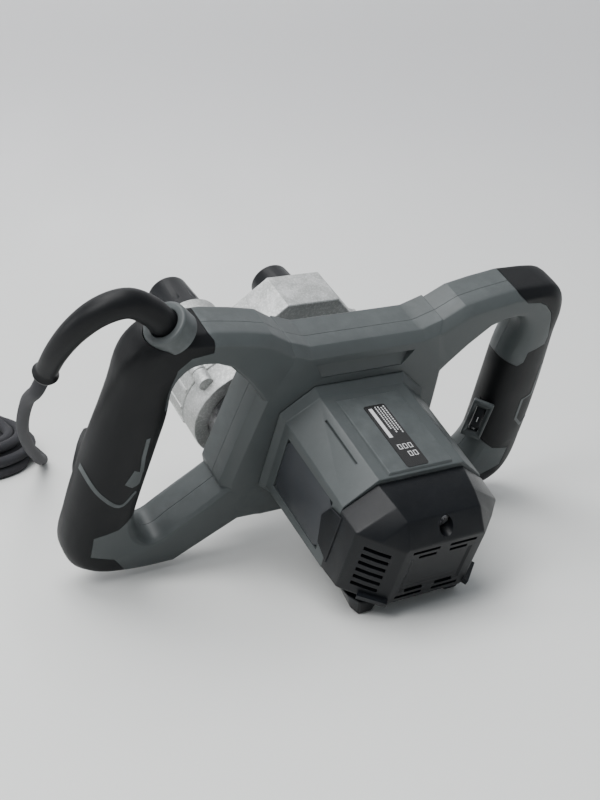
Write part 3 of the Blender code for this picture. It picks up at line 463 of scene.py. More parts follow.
def make_moulded_grain():
    """Fine spark-eroded grain of a plastic or rubber moulding, and its slow mottle."""
    tree, given, out = effect("moulded_grain", [("Grain Size", 1400.0)], ["Height", "Mottle"])
    place = place_in(tree)
    fine = noise(tree, place, given.outputs["Grain Size"], 2.0, 0.6)
    coarse = noise(tree, place, 38.0, 4.0, 0.6)
    tree.links.new(fine, out.inputs["Height"])
    tree.links.new(ranged(tree, coarse, 0.3, 0.7), out.inputs["Mottle"])
    return tree


def make_edge_wear():
    """Mask of the rubbed edges: convex places, broken up by a noise."""
    tree, given, out = effect("edge_wear", [("Amount", 0.5), ("Patch Size", 90.0)], ["Mask"])
    convex = ranged(tree, add(tree, "NewGeometry").outputs["Pointiness"], 0.515, 0.60)
    patches = ranged(tree, noise(tree, place_in(tree), given.outputs["Patch Size"], 4.0, 0.65), 0.42, 0.66)
    mask = product(tree, product(tree, convex, patches), given.outputs["Amount"])
    tree.links.new(mask, out.inputs["Mask"])
    return tree


def make_settled_dust():
    """Mask of the pale dust that settles on surfaces that face up."""
    tree, given, out = effect("settled_dust", [("Amount", 0.1)], ["Mask"])
    up = add(tree, "SeparateXYZ", {0: add(tree, "NewGeometry").outputs["Normal"]}).outputs["Z"]
    specks = ranged(tree, noise(tree, place_in(tree), 240.0, 6.0, 0.7), 0.45, 0.75)
    mask = product(tree, product(tree, ranged(tree, up, 0.1, 1.0), specks), given.outputs["Amount"])
    tree.links.new(mask, out.inputs["Mask"])
    return tree


def make_cast_skin():
    """Pitted skin of a sand or pressure casting, and its bright specks."""
    tree, given, out = effect("cast_skin", [("Pit Size", 620.0)], ["Height", "Specks"])
    place = place_in(tree)
    pits = noise(tree, place, given.outputs["Pit Size"], 5.0, 0.75)
    cells = add(tree, "TexVoronoi", {"Vector": place, "Scale": 900.0}).outputs["Distance"]
    tree.links.new(product(tree, pits, ranged(tree, cells, 0.0, 0.6, 0.6, 1.0)), out.inputs["Height"])
    tree.links.new(ranged(tree, pits, 0.48, 0.68), out.inputs["Specks"])
    return tree


def make_turning_marks():
    """Fine rings that a lathe or grinder leaves on steel."""
    tree, given, out = effect("turning_marks", [("Ring Size", 500.0)], ["Height", "Streaks"])
    stretched = add(tree, "Mapping", {"Vector": place_in(tree), "Scale": (0.2, 1.0, 1.0)}).outputs[0]
    marks = noise(tree, stretched, given.outputs["Ring Size"], 4.0, 0.6)
    tree.links.new(marks, out.inputs["Height"])
    tree.links.new(ranged(tree, marks, 0.35, 0.65), out.inputs["Streaks"])
    return tree


EFFECTS = {
    "moulded_grain": make_moulded_grain,
    "edge_wear": make_edge_wear,
    "settled_dust": make_settled_dust,
    "cast_skin": make_cast_skin,
    "turning_marks": make_turning_marks,
}


def use_effect(tree, name, **values):
    """Place one of the shared effects in a material with its own values."""
    if name not in bpy.data.node_groups:
        EFFECTS[name]()
    made = tree.nodes.new("ShaderNodeGroup")
    made.node_tree = bpy.data.node_groups[name]
    for label, value in values.items():
        made.inputs[label.replace("_", " ")].default_value = value
    return made.outputs


def mix(tree, mask, first, second):
    """Colour between two, by a mask."""
    made = add(tree, "Mix", data_type="RGBA")
    tree.links.new(mask, made.inputs["Factor"])
    for socket, source in (("A", first), ("B", second)):
        target = next(item for item in made.inputs if item.name == socket and item.type == "RGBA")
        if isinstance(source, bpy.types.NodeSocket):
            tree.links.new(source, target)
        else:
            target.default_value = (*source, 1.0)
    return next(item for item in made.outputs if item.type == "RGBA")


def scaled(colour, factor):
    return tuple(min(1.0, channel * factor) for channel in colour)


def finish_named(name, make, *values):
    """The named material, made the first time that it is asked for."""
    if name in bpy.data.materials:
        return bpy.data.materials[name]
    material = bpy.data.materials.new(name)
    material.use_nodes = True
    make(material.node_tree, material.node_tree.nodes["Principled BSDF"], *values)
    return material


def bump(tree, shader, height, strength, distance):
    made = add(tree, "Bump", {"Height": height, "Strength": strength, "Distance": distance})
    tree.links.new(made.outputs["Normal"], shader.inputs["Normal"])


def moulding(tree, shader, colour, roughness, grain, wear, dust, sheen=0.5):
    """Moulded plastic or rubber: mottled colour, grain, rubbed edges and a little settled dust."""
    shader.inputs["Specular IOR Level"].default_value = sheen
    surface = use_effect(tree, "moulded_grain", Grain_Size=grain)
    rubbed = use_effect(tree, "edge_wear", Amount=wear)["Mask"]
    dusty = use_effect(tree, "settled_dust", Amount=dust)["Mask"]
    shade = mix(tree, surface["Mottle"], scaled(colour, 0.93), scaled(colour, 1.07))
    shade = mix(tree, rubbed, shade, scaled(colour, 2.0))
    shade = mix(tree, dusty, shade, (0.30, 0.30, 0.29))
    tree.links.new(shade, shader.inputs["Base Color"])
    gloss = ranged(tree, surface["Mottle"], 0.0, 1.0, roughness - 0.05, roughness + 0.06)
    tree.links.new(gloss, shader.inputs["Roughness"])
    bump(tree, shader, surface["Height"], 0.35, 0.0002)


def casting_skin(tree, shader, colour, roughness, pits):
    surface = use_effect(tree, "cast_skin", Pit_Size=pits)
    rubbed = use_effect(tree, "edge_wear", Amount=0.7)["Mask"]
    shade = mix(tree, surface["Specks"], scaled(colour, 0.72), scaled(colour, 1.12))
    shade = mix(tree, rubbed, shade, (0.85, 0.85, 0.85))
    tree.links.new(shade, shader.inputs["Base Color"])
    gloss = ranged(tree, surface["Specks"], 0.0, 1.0, roughness + 0.1, roughness - 0.06)
    tree.links.new(gloss, shader.inputs["Roughness"])
    shader.inputs["Metallic"].default_value = 0.85
    bump(tree, shader, surface["Height"], 0.8, 0.0005)


def machined(tree, shader, colour, roughness):
    surface = use_effect(tree, "turning_marks")
    shade = mix(tree, surface["Streaks"], scaled(colour, 0.8), scaled(colour, 1.1))
    tree.links.new(shade, shader.inputs["Base Color"])
    gloss = ranged(tree, surface["Streaks"], 0.0, 1.0, roughness - 0.06, roughness + 0.08)
    tree.links.new(gloss, shader.inputs["Roughness"])
    shader.inputs["Metallic"].default_value = 1.0
    bump(tree, shader, surface["Height"], 0.2, 0.0001)


def frame_plastic():
    return finish_named("frame_plastic", moulding, colours().frame_grey, 0.45, 1500.0, 0.6, 0.04, 0.36)


def panel_plastic():
    return finish_named("panel_plastic", moulding, colours().panel_grey, 0.46, 1500.0, 0.3, 0.06)


def grip_rubber():
    return finish_named("grip_rubber", moulding, colours().grip_black, 0.46, 1100.0, 0.3, 0.012, 0.22)


def cord_rubber():
    black = scaled(colours().grip_black, 1.2)
    return finish_named("cord_rubber", moulding, black, 0.5, 900.0, 0.1, 0.012, 0.22)


def cap_plastic():
    return finish_named("cap_plastic", moulding, colours().cap_black, 0.34, 1500.0, 1.5, 0.012, 0.24)


def button_plastic():
    return finish_named("button_plastic", moulding, colours().button_red, 0.4, 1500.0, 0.3, 0.05)


def label_film():
    return finish_named("label_film", moulding, (0.008, 0.008, 0.009), 0.30, 2000.0, 0.0, 0.04)


def label_ink():
    return finish_named("label_ink", moulding, (0.62, 0.62, 0.62), 0.45, 2000.0, 0.0, 0.0)


def case_metal():
    return finish_named("case_metal", casting_skin, colours().casting, 0.48, 620.0)


def plate_metal():
    return finish_named("plate_metal", casting_skin, (0.07, 0.07, 0.075), 0.5, 500.0)


def bright_steel():
    return finish_named("bright_steel", machined, colours().steel, 0.32)


def winding_copper():
    return finish_named("winding_copper", machined, (0.60, 0.25, 0.12), 0.34)


# ---------------------------------------------------------------- stage

CAMERA_STAND = Vector((-0.4558, -0.6938, 0.2793))
CAMERA_AHEAD = Vector((0.4981, 0.8164, -0.2924))
CAMERA_LENS = 56.25
BACKDROP_AT = 1.25
BACKDROP_CURVE = 0.35


def make_camera():
    data = bpy.data.cameras.new("camera")
    data.lens = CAMERA_LENS
    camera = bpy.data.objects.new("camera", data)
    camera.location = ORIGIN + CAMERA_STAND
    camera.rotation_euler = CAMERA_AHEAD.to_track_quat("-Z", "Y").to_euler()
    bpy.context.scene.collection.objects.link(camera)
    bpy.context.scene.camera = camera


def softbox(name, place, target, width, height, power):
    data = bpy.data.lights.new(name, "AREA")
    data.shape = "RECTANGLE"
    data.size = width
    data.size_y = height
    data.energy = power
    light = bpy.data.objects.new(name, data)
    light.location = place
    light.rotation_euler = (Vector(target) - Vector(place)).to_track_quat("-Z", "Y").to_euler()
    bpy.context.scene.collection.objects.link(light)


def make_backdrop():
    """Table top that curves up into a wall behind the machine, across the camera's line."""
    level = Vector((CAMERA_AHEAD.x, CAMERA_AHEAD.y, 0)).normalized()
    aside = Vector((level.y, -level.x, 0))
    stand = ORIGIN + CAMERA_STAND
    start = Vector((stand.x, stand.y, 0))
    rows = [start - level * 3.0, start + level * BACKDROP_AT]
    for i in range(1, 13):
        angle = math.radians(90 * i / 12)
        rows.append(start + level * (BACKDROP_AT + BACKDROP_CURVE * math.sin(angle))
                    + Vector((0, 0, BACKDROP_CURVE * (1 - math.cos(angle)))))
    rows.append(rows[-1] + Vector((0, 0, 2.6)))
    bm = bmesh.new()
    verts = [[bm.verts.new(row + aside * side) for side in (-4.0, 4.0)] for row in rows]
    for (a, b), (c, d) in zip(verts, verts[1:]):
        bm.faces.new((a, b, d, c))
    mesh = bpy.data.meshes.new("studio_sweep")
    bm.to_mesh(mesh)
    bm.free()
    mesh.shade_smooth()
    mesh.materials.append(finish_named("studio_paint", paint))
    obj = bpy.data.objects.new("studio_sweep", mesh)
    bpy.context.scene.collection.objects.link(obj)


def paint(tree, shader):
    """Pale table, turning to the wall's grey where the sweep rises."""
    place = place_in(tree)
    height = add(tree, "SeparateXYZ", {0: place}).outputs["Z"]
    shade = mix(tree, ranged(tree, height, 0.0, 0.25), colours().table_white, colours().wall_grey)
    tree.links.new(shade, shader.inputs["Base Color"])
    patches = noise(tree, place, 9.0, 4.0, 0.5)
    tree.links.new(ranged(tree, patches, 0.3, 0.7, 0.42, 0.58), shader.inputs["Roughness"])


class MIXER_OT_set_stage(bpy.types.Operator):
    """Make the camera, the studio light and the sweep that the machine lies on"""
    bl_idname = "mixer.set_stage"
    bl_label = "Set stage"

    def execute(self, context):
        make_camera()
        make_backdrop()
        world = bpy.data.worlds.new("studio")
        world.use_nodes = True
        background = world.node_tree.nodes["Background"]
        background.inputs["Color"].default_value = (0.86, 0.93, 1.0, 1.0)
        background.inputs["Strength"].default_value = 0.45
        context.scene.world = world
        softbox("ceiling_light", (-0.45, 0.05, 2.1), (0.0, 0.0, 0.1), 1.9, 1.2, 44.0)
        softbox("upper_left_light", (-1.5, -0.7, 1.7), (0.0, 0.0, 0.1), 0.8, 0.8, 26.0)
        softbox("side_light", (-1.9, 0.7, 0.8), (0.0, 0.0, 0.15), 0.8, 1.0, 10.0)
        return {"FINISHED"}


# ---------------------------------------------------------------- cord

def gland_point(distance):
    return RING_CENTRE + GLAND_AXIS * distance


def sleeve_route():
    points = [gland_point(-11), gland_point(0), gland_point(14)] + [Vector(point) for point in SLEEVE_ROUTE]
    return smooth_points(points, 2.5)


def ease(share):
    share = min(1.0, max(0.0, share))
    return share * share * (3 - 2 * share)


def coil_turn(angle):
    """Radius and height of the coil's centreline at an angle in degrees from its start."""
    inwards = ease((angle - 300) / 60) + ease((angle - 660) / 60)
    inwards -= ease((angle - 1320) / 60) + ease((angle - 1620) / 60)
    inwards += ease((angle - 1860) / 60) + ease((angle - 2220) / 60)
    inwards -= 2 * ease((angle - 2580) / 120)
    level = ease((angle - 1020) / 60) + ease((angle - 1800) / 60) + ease((angle - 2520) / 60)
    return inwards, level


def coil_points():
    """Seven and a half turns in three layers; the last half turn passes over the others."""
    step = sizes().coil_step
    outer = CORD_ROUTE[-1][0] - COIL_CENTRE.x
    low = CORD_ROUTE[-1][2]
    points = []
    for number in range(int(2700 / 10) + 1):
        angle = number * 10
        inwards, level = coil_turn(angle)
        radius, height = outer - inwards * step, low + level * step
        height -= (3 * step + low - PLUG_REAR.z) * 0.45 * ease((angle - 2650) / 60)
        turn = math.radians(angle)
        points.append(COIL_CENTRE + Vector((radius * math.cos(turn), radius * math.sin(turn), height)))
    return points


def cord_points():
    """Free stretch from the bend sleeve, the coil, and the last run into the plug."""
    route = sleeve_route()
    end = PLACE @ route[-1]
    ahead = (PLACE.to_3x3() @ (route[-1] - route[-2])).normalized()
    free = [end, end + ahead * 2 * sizes().cord_diameter] + [Vector(point) for point in CORD_ROUTE]
    last = coil_points()
    run = [last[-1], last[-1].lerp(PLUG_REAR, 0.5) + Vector((0, 0, -0.001)), PLUG_REAR,
           PLUG_REAR + Vector((0, -0.006, 0))]
    return smooth_points(free, 0.007)[:-1] + last[:-1] + smooth_points(run, 0.006)


def make_cord(with_pieces):
    points = cord_points()
    curve = bpy.data.curves.new("mains_lead", "CURVE")
    curve.dimensions = "3D"
    curve.bevel_depth = sizes().cord_diameter / 2
    curve.bevel_resolution = 5
    curve.use_fill_caps = True
    spline = curve.splines.new("POLY")
    spline.points.add(len(points) - 1)
    for place, point in zip(spline.points, points):
        place.co = (*point, 1)
    spline.use_smooth = True
    curve.materials.append(cord_rubber())
    lead = bpy.data.objects.new("mains_lead", curve)
    bpy.context.scene.collection.objects.link(lead)
    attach(lead, "machine")
    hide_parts("cord", "cord_coil")


def make_bend_sleeve():
    """Bend sleeve: a smooth tapering tube that ends in a flange."""
    route = sleeve_route()
    count = len(route)
    radii = []
    for index in range(count):
        share = index / (count - 1)
        radius = SLEEVE_RADIUS - 2.2 * ease((share - 0.35) / 0.6)
        radius = SLEEVE_RADIUS - 0.6 if index >= count - 2 else radius
        radii.append(radius)
    radii[-1] -= 1.0
    bm = swept(route, radii, 32)
    return piece("bend_sleeve_tube", bm, grip_rubber(), node="bend_sleeve", crease=50)


def make_gland_ring():
    outer, inner = RING_RADIUS, SLEEVE_RADIUS + GAP
    edge = arc((outer - 2.2, -2.2), 2.2, 0, 90, 5) + arc((inner + 1.4, -1.4), 1.4, 90, 180, 4)
    profile = [(outer, -RING_LENGTH)] + edge + [(inner, -RING_LENGTH)]
    bm = turned(profile, RING_CENTRE, GLAND_AXIS)
    piece("gland_ring", bm, frame_plastic(), node="cord_gland_ring")


def make_plug():
    """Two-pin plug: ribbed grip, flange and round pins, axis along its own z."""
    ribs = []
    for number in range(5):
        height = 58 - number * 5.6
        ribs += [(5.2 + number * 0.35, height), (5.2 + number * 0.35, height - 3.4),
                 (4.6 + number * 0.35, height - 3.8), (4.6 + number * 0.35, height - 5.4)]
    profile = [(0, PLUG_LENGTH), (5.0, PLUG_LENGTH)] + ribs
    profile += [(7.0, 29), (12.5, 26), (16.5, 22), (PLUG_RADIUS, 18), (PLUG_RADIUS, -2),
                (PLUG_RADIUS - 0.7, -3.4), (PLUG_RADIUS - 2, -4), (PLUG_RADIUS - 2, -9.2),
                (PLUG_RADIUS - 2.8, -10), (0, -10)]
    body = turned(profile, sides=48)
    notches = [rod((side * (PLUG_RADIUS + 6), 0), 9, 0, 17, 24) for side in (-1, 1)]
    body = cut(body, *notches)
    pins = [rod((side * 9.5, 0), 2.3, -29, -9, 20, 0.8) for side in (-1, 1)]
    lie = Matrix.Rotation(math.radians(-90), 4, "X")
    rear = PLACE.inverted() @ (PLUG_REAR - Vector((0, PLUG_LENGTH * MM, 0)))
    turn = PLACE.to_3x3().normalized().inverted().to_4x4() @ lie
    place = Matrix.Translation(rear) @ turn
    for bm in [body] + pins:
        bm.transform(place)
    plug = piece("plug_body", body, cap_plastic(), node="plug")
    contacts = piece("plug_pins", joined(*pins), bright_steel())
    return [plug, contacts]


class MIXER_OT_run_cord(bpy.types.Operator):
    """Run the mains lead from its bend sleeve to a coil and a plug"""
    bl_idname = "mixer.run_cord"
    bl_label = "Run cord"

    def execute(self, context):
        sleeve = make_bend_sleeve()
        make_gland_ring()
        make_cord([sleeve] + make_plug())
        return {"FINISHED"}


# ---------------------------------------------------------------- frame

def loop_stations():
    """Right-hand loop from the centre over the grip and back: outer edge, inner edge, squareness."""
    low = HANDLE_LOW_EDGE
    return [
        ((40, TOP_EDGE - 1), (58, 26), 7), ((58, 87.5), (75.6, 50), 7), ((76.8, 99), (88, 65), 7),
        ((96, 103.3), (103, 79.5), 6), ((118, 106.8), (113, 83.8), 6), ((140, 107), (122, 84.8), 5.5),
        ((156, 105.6), (129, 82.5), 5), ((167, 97), (133.5, 77), 4.5), ((173, 84), (136.3, 70), 4),
        ((175.8, 65), (137, 60), 3.4), ((180.6, 40), (135.5, 42), 2.8), ((184.3, 19), (137.6, 19), 2.6),
        ((187, 0), (139.5, 0), 2.6), ((189.9, -24), (141.9, -24), 2.6), ((191.5, -45), (143.3, -43), 2.8),
        ((192.2, -62), (142.5, -54), 3.2), ((190, -76), (139, -64), 3.8), ((183.5, -87), (134, -70), 4.5),
        ((170, -95), (128.5, -72), 5), ((150, low + 1.8), (122, -69), 5), ((130, low), (114, -61), 5.5),
        ((111.5, low + 0.6), (104, -53), 6), ((88, -86.7), (90, -41), 7), ((64.5, -71.5), (78, -30), 7),
        ((44, BOTTOM_EDGE + 1), (60, -18), 7),
    ]


def fine_stations():
    """Stations of the loop with two more between each pair: straight on the arms, curved round the grip."""
    given = [(Vector(outer), Vector(inner), square) for outer, inner, square in loop_stations()]
    fine = []
    for index in range(len(given) - 1):
        before, here, after = given[max(index - 1, 0)], given[index], given[index + 1]
        beyond = given[min(index + 2, len(given) - 1)]
        curved = here[2] < 5.6 and after[2] < 5.6
        for t in (0.0, 1 / 3, 2 / 3):
            row = []
            for a, b, c, d in zip(before, here, after, beyond):
                value = b + (c - b) * t
                if curved:
                    value = 0.5 * (b * 2 + (c - a) * t + (a * 2 - b * 5 + c * 4 - d) * t ** 2
                                   + (b * 3 - a - c * 3 + d) * t ** 3)
                row.append(value)
            fine.append(tuple(row))
    return fine + [given[-1]]


def section_points(half_width, half_depth, square, chamfer):
    """Eight-sided section with rounded corners; the corners grow as the section turns into a grip."""
    round_share = min(1.0, max(0.0, (6.0 - square) / 3.2))
    plain = min(half_width, half_depth)
    small = chamfer * 0.45 + (0.56 * plain - chamfer * 0.45) * round_share
    large = chamfer + (0.56 * plain - chamfer) * round_share
    a, b = half_width, half_depth
    corners = [(a, b - large), (a - large, b), (-a + small, b), (-a, b - small),
               (-a, -b + small), (-a + small, -b), (a - small, -b), (a, -b + small)]
    softness = 0.10 + 0.40 * round_share
    points = []
    count = len(corners)
    for index, corner in enumerate(corners):
        corner = Vector(corner)
        start = corner.lerp(Vector(corners[index - 1]), softness)
        end = corner.lerp(Vector(corners[(index + 1) % count]), softness)
        for number in range(RIM_POINTS):
            t = number / (RIM_POINTS - 1) if round_share < 1 else number / RIM_POINTS
            points.append(start * (1 - t) ** 2 + corner * 2 * t * (1 - t) + end * t ** 2)
    return points


def grip_loop(side, shrink=0.0):
    """One D-shaped handle loop as a loft; side is 1 or -1."""
    sections = []
    stations = fine_stations()
    chamfer = sizes().frame_chamfer / MM
    for index, (outer, inner, square) in enumerate(stations):
        middle = (outer + inner) / 2
        across = (outer - inner).normalized()
        half_width = (outer - inner).length / 2 - shrink
        inside_centre = index < 1 or index > len(stations) - 2
        half_depth = FRAME_DEPTH / 2 - shrink - (0.9 if inside_centre else 0.0)
        section = []
        for point in section_points(half_width, half_depth, square, chamfer):
            spot = middle + across * point.x
            section.append((side * spot.x, spot.y, point.y - FRAME_DEPTH / 2))
        sections.append(section)
    return loft(sections)


def centre_block():
    half = [(44, TOP_EDGE), (61, 89.5), (75, 52), (79.5, 20), (86, -30), (77, -56), (61, BOTTOM_EDGE + 2.6),
            (48, BOTTOM_EDGE)]
    bm = slab(half + mirrored(half), -FRAME_DEPTH, 0)
    front = [edge for edge in bm.edges if all(abs(vert.co.z) < 0.01 for vert in edge.verts)]
    bevel(bm, front, sizes().frame_chamfer / MM, 1)
    return softened(bm, sizes().shell_edge / MM, 20)


def cover_outline(side, inset=0.0):
    """Field of the rubber cover in the (u, v) plane; inset shrinks it towards the grip."""
    upper = [(118, 107), (120, 104.5), (128.2, 98.1), (140, 96.8), (147.4, 93.5), (155.3, 85.9),
             (158.7, 78.8), (164.5, 61.7), (164.2, 54.8), (151, 48.5), (150.9, 39), (147, 35.5), (128, 41)]
    if side < 0:
        upper = [(118, 110.8), (126.7, 110.8), (119.7, 103.5), (119.4, 95.6), (133.8, 93.4), (141.6, 85.3),
                 (143.7, 68.1), (142.4, 49.6), (134.5, 47.9), (128, 52)][1:]
    lower = [(130, -36), (138.8, -37.2), (159.2, -51.2), (176, -54.6), (175.7, -73.1), (157.3, -80.9),
             (146, -97)]
    frame_edge = [(144, -112), (205, -112), (205, 122), (116, 122)]
    points = [Vector(point) for point in upper + lower + frame_edge]
    moved = []
    for before, here, after in zip(points[-1:] + points[:-1], points, points[1:] + points[:1]):
        first, second = (here - before).normalized(), (after - here).normalized()
        normal = Vector((-(first + second).y, (first + second).x)).normalized()
        lean = max(0.5, normal.dot(Vector((-first.y, first.x))))
        moved.append(here + normal * inset / lean)
    outline = [(side * point.x, point.y) for point in moved]
    return outline if side > 0 else outline[::-1]


def cover_field(side, inset=0.0):
    return slab(cover_outline(side, inset), -FRAME_DEPTH - 5, 5)


def gland_seat():
    return turned([(0, 30), (RING_RADIUS + GAP, 30), (RING_RADIUS + GAP, -RING_LENGTH - GAP),
                   (SLEEVE_RADIUS + GAP, -RING_LENGTH - GAP), (SLEEVE_RADIUS + GAP, -24), (0, -24)],
                  RING_CENTRE, GLAND_AXIS, 48)


def trigger_slot():
    half = TRIGGER_WIDTH / 2 + 0.8
    return box((-GRIP_U - half, TRIGGER_LOW - 1.5, -60), (-GRIP_U + half, TRIGGER_TOP + 2, -17))


def button_hole():
    return rod((-GRIP_U, BUTTON_V), BUTTON_RADIUS + 0.4, -60, -20, 32)


def at_wheel_seat(bm):
    outwards = Vector((-1, 0, 1)).normalized()
    along = Vector((0, 1, 0))
    turn = Matrix((along.cross(outwards), along, outwards)).transposed().to_4x4()
    bm.transform(Matrix.Translation(WHEEL_SEAT) @ turn)
    return bm


def wheel_recess():
    x, y, z = (size / 2 + GAP for size in BEZEL)
    return at_wheel_seat(box((-x, -y, -z), (x, y, 30)))


def wheel_slot():
    half, reach = WHEEL_WIDTH / 2 + 0.6, WHEEL_RADIUS + 1.0
    return at_wheel_seat(box((-half, -reach, -2 * WHEEL_RADIUS - 0.5), (half, reach, 0)))


def vent_scoop():
    """Wedge cut from the frame's front: deep at the top edge, running out at the ledge below."""
    ledge = loft([[(-39.8, 71.3, 1), (39.8, 71.3, 1), (38.6, 71.1, -5.4), (-38.6, 71.1, -5.4)],
                  [(-32.4, 59.3, 1), (32.4, 59.3, 1), (32.4, 59.3, -0.6), (-32.4, 59.3, -0.6)]])
    slit = loft([[(-39.2, 71.4, -1), (39.2, 71.4, -1), (37, 71.4, -11), (-37, 71.4, -11)],
                 [(-37.2, 67.6, -1), (37.2, 67.6, -1), (36, 68.4, -11), (-36, 68.4, -11)]])
    return [ledge, slit]


def frame_body():
    """Both frame halves in one: centre and loops, less the rubber of the grips."""
    body = fuse(centre_block(), grip_loop(1), grip_loop(-1))
    cutters = [cover_field(1), cover_field(-1)]
    body = cut(body, *cutters)
    body = fuse(body, grip_loop(1, COVER_THICKNESS), grip_loop(-1, COVER_THICKNESS))
    return cut(body, rod((0, 0), CENTRE_BORE, -50, 10, 64), wheel_recess(), wheel_slot(), gland_seat(),
               *vent_scoop())


class MIXER_OT_mould_frame(bpy.types.Operator):
    """Mould the two halves of the handle frame"""
    bl_idname = "mixer.mould_frame"
    bl_label = "Mould frame"

    def execute(self, context):
        seam = -FRAME_DEPTH / 2
        body = frame_body()
        spare = body.copy()
        front = shared(body, box((-260, -160, seam + GAP / 2), (260, 180, 20)))
        back = shared(spare, box((-260, -160, -60), (260, 180, seam - GAP / 2)))
        back = cut(back, trigger_slot(), button_hole())
        for word, half in (("motor", front), ("gear", back)):
            piece(f"frame_shell_{word}_side", half, frame_plastic(),
                  node=f"frame_{word}_side", crease=18)
        return {"FINISHED"}


# ---------------------------------------------------------------- grips

def ribbon(points, width):
    """Outline of a strip along (u, v) points."""
    left, right = [], []
    for index, point in enumerate(points):
        before, after = Vector(points[max(index - 1, 0)]), Vector(points[min(index + 1, len(points) - 1)])
        direction = (after - before).normalized()
        normal = Vector((-direction.y, direction.x)) * width / 2
        left.append(tuple(Vector(point) + normal))
        right.append(tuple(Vector(point) - normal))
    return left + right[::-1]


def curved(points):
    """Smooth line through (u, v) points, with a point every few millimetres."""
    route = smooth_points([Vector((u, v, 0)) for u, v in points], 3.0)
    return [(point.x, point.y) for point in route]


# Grip lines: real raised strips, given the light frame grey as a painted highlight along the grip
LEFT_PAINTED_HIGHLIGHT_INLAYS = [
    ribbon(curved([(-195.7, 19.3), (-186.5, -0.7), (-176.3, -15.2), (-161.9, -27.0), (-151.7, -17.2)]), 2.6),
    ribbon([(-151.5, 31), (-151.8, 14), (-150.4, -0.3)], 3.0),
    [(-161.7, -7.2), (-156.6, 4.2), (-149.6, -0.3), (-150, -10.3), (-155.5, -12.0)],
]
RIGHT_PAINTED_HIGHLIGHT_INLAYS = [
    ribbon([(173.3, 32.4), (176.1, 2.6), (167.5, -0.8), (169.5, -21.1), (178.3, -29.5), (184.2, -24.3)], 2.6),
]


def painted_highlight_inlay(side, outlines):
    """Grey lines let into the front of a grip, just proud of the rubber; the strips are real, and their light grey
    is a painted highlight.
    """
    strips = []
    for outline in outlines:
        strip = shared(slab(outline, -FRAME_DEPTH / 2, 8), grip_loop(side, -0.25))
        strips.append(cut(strip, grip_loop(side, 0.5)))
    return joined(*strips)


class MIXER_OT_wrap_grips(bpy.types.Operator):
    """Wrap the grips in their rubber covers and let in the grey lines, whose light grey is a painted highlight"""
    bl_idname = "mixer.wrap_grips"
    bl_label = "Wrap grips"

    def execute(self, context):
        for word, side, painted_highlight_inlays in (("left", -1, LEFT_PAINTED_HIGHLIGHT_INLAYS), ("right", 1, RIGHT_PAINTED_HIGHLIGHT_INLAYS)):
            cover = shared(grip_loop(side), cover_field(side, GAP))
            if side < 0:
                holes = [trigger_slot(), button_hole(), gland_seat()]
            else:
                holes = [wheel_recess(), wheel_slot()]
            cover = cut(cover, grip_loop(side, COVER_THICKNESS - GAP), *holes)
            piece(f"grip_rubber_{word}", cover, grip_rubber(), node=f"grip_cover_{word}")
            # The light frame grey on the grip lines is a painted highlight; the strips themselves are real
            piece(f"grip_painted_highlight_line_{word}", painted_highlight_inlay(side, painted_highlight_inlays), frame_plastic())
        return {"FINISHED"}


# ---------------------------------------------------------------- controls

def make_trigger():
    depth, w = -FRAME_DEPTH, TRIGGER_PIVOT_W
    profile = [(TRIGGER_TOP, w + 4), (TRIGGER_TOP, depth - 0.5), (TRIGGER_TOP - 8, depth - 8),
               (TRIGGER_TOP - 17, depth - 11.4), (-12, depth - 13.5), (-24, depth - 14.7),
               (TRIGGER_LOW + 8, depth - 15), (TRIGGER_LOW + 3, depth - 13.4), (TRIGGER_LOW, depth - 10),
               (TRIGGER_LOW, w + 4.5), (TRIGGER_LOW + 6, w + 5.5), (-8, w + 4)]
    bm = slab(profile, -TRIGGER_WIDTH / 2, TRIGGER_WIDTH / 2, 1.4)
    turn = Matrix(((0, 0, 1), (1, 0, 0), (0, 1, 0))).to_4x4()
    bm.transform(Matrix.Translation((-GRIP_U, 0, 0)) @ turn)
    piece("trigger_lever", bm, cap_plastic(), "trigger", "trigger")


def make_button():
    radius = BUTTON_RADIUS
    profile = [(0, -37.6), (radius - 1.6, -37.6), (radius - 0.5, -37.2), (radius, -36.2),
               (radius, -23.5), (0, -23.5)]
    piece("lock_on_button", turned(profile, (-GRIP_U, BUTTON_V, 0)), button_plastic(),
          "lock_button", "lock_button")


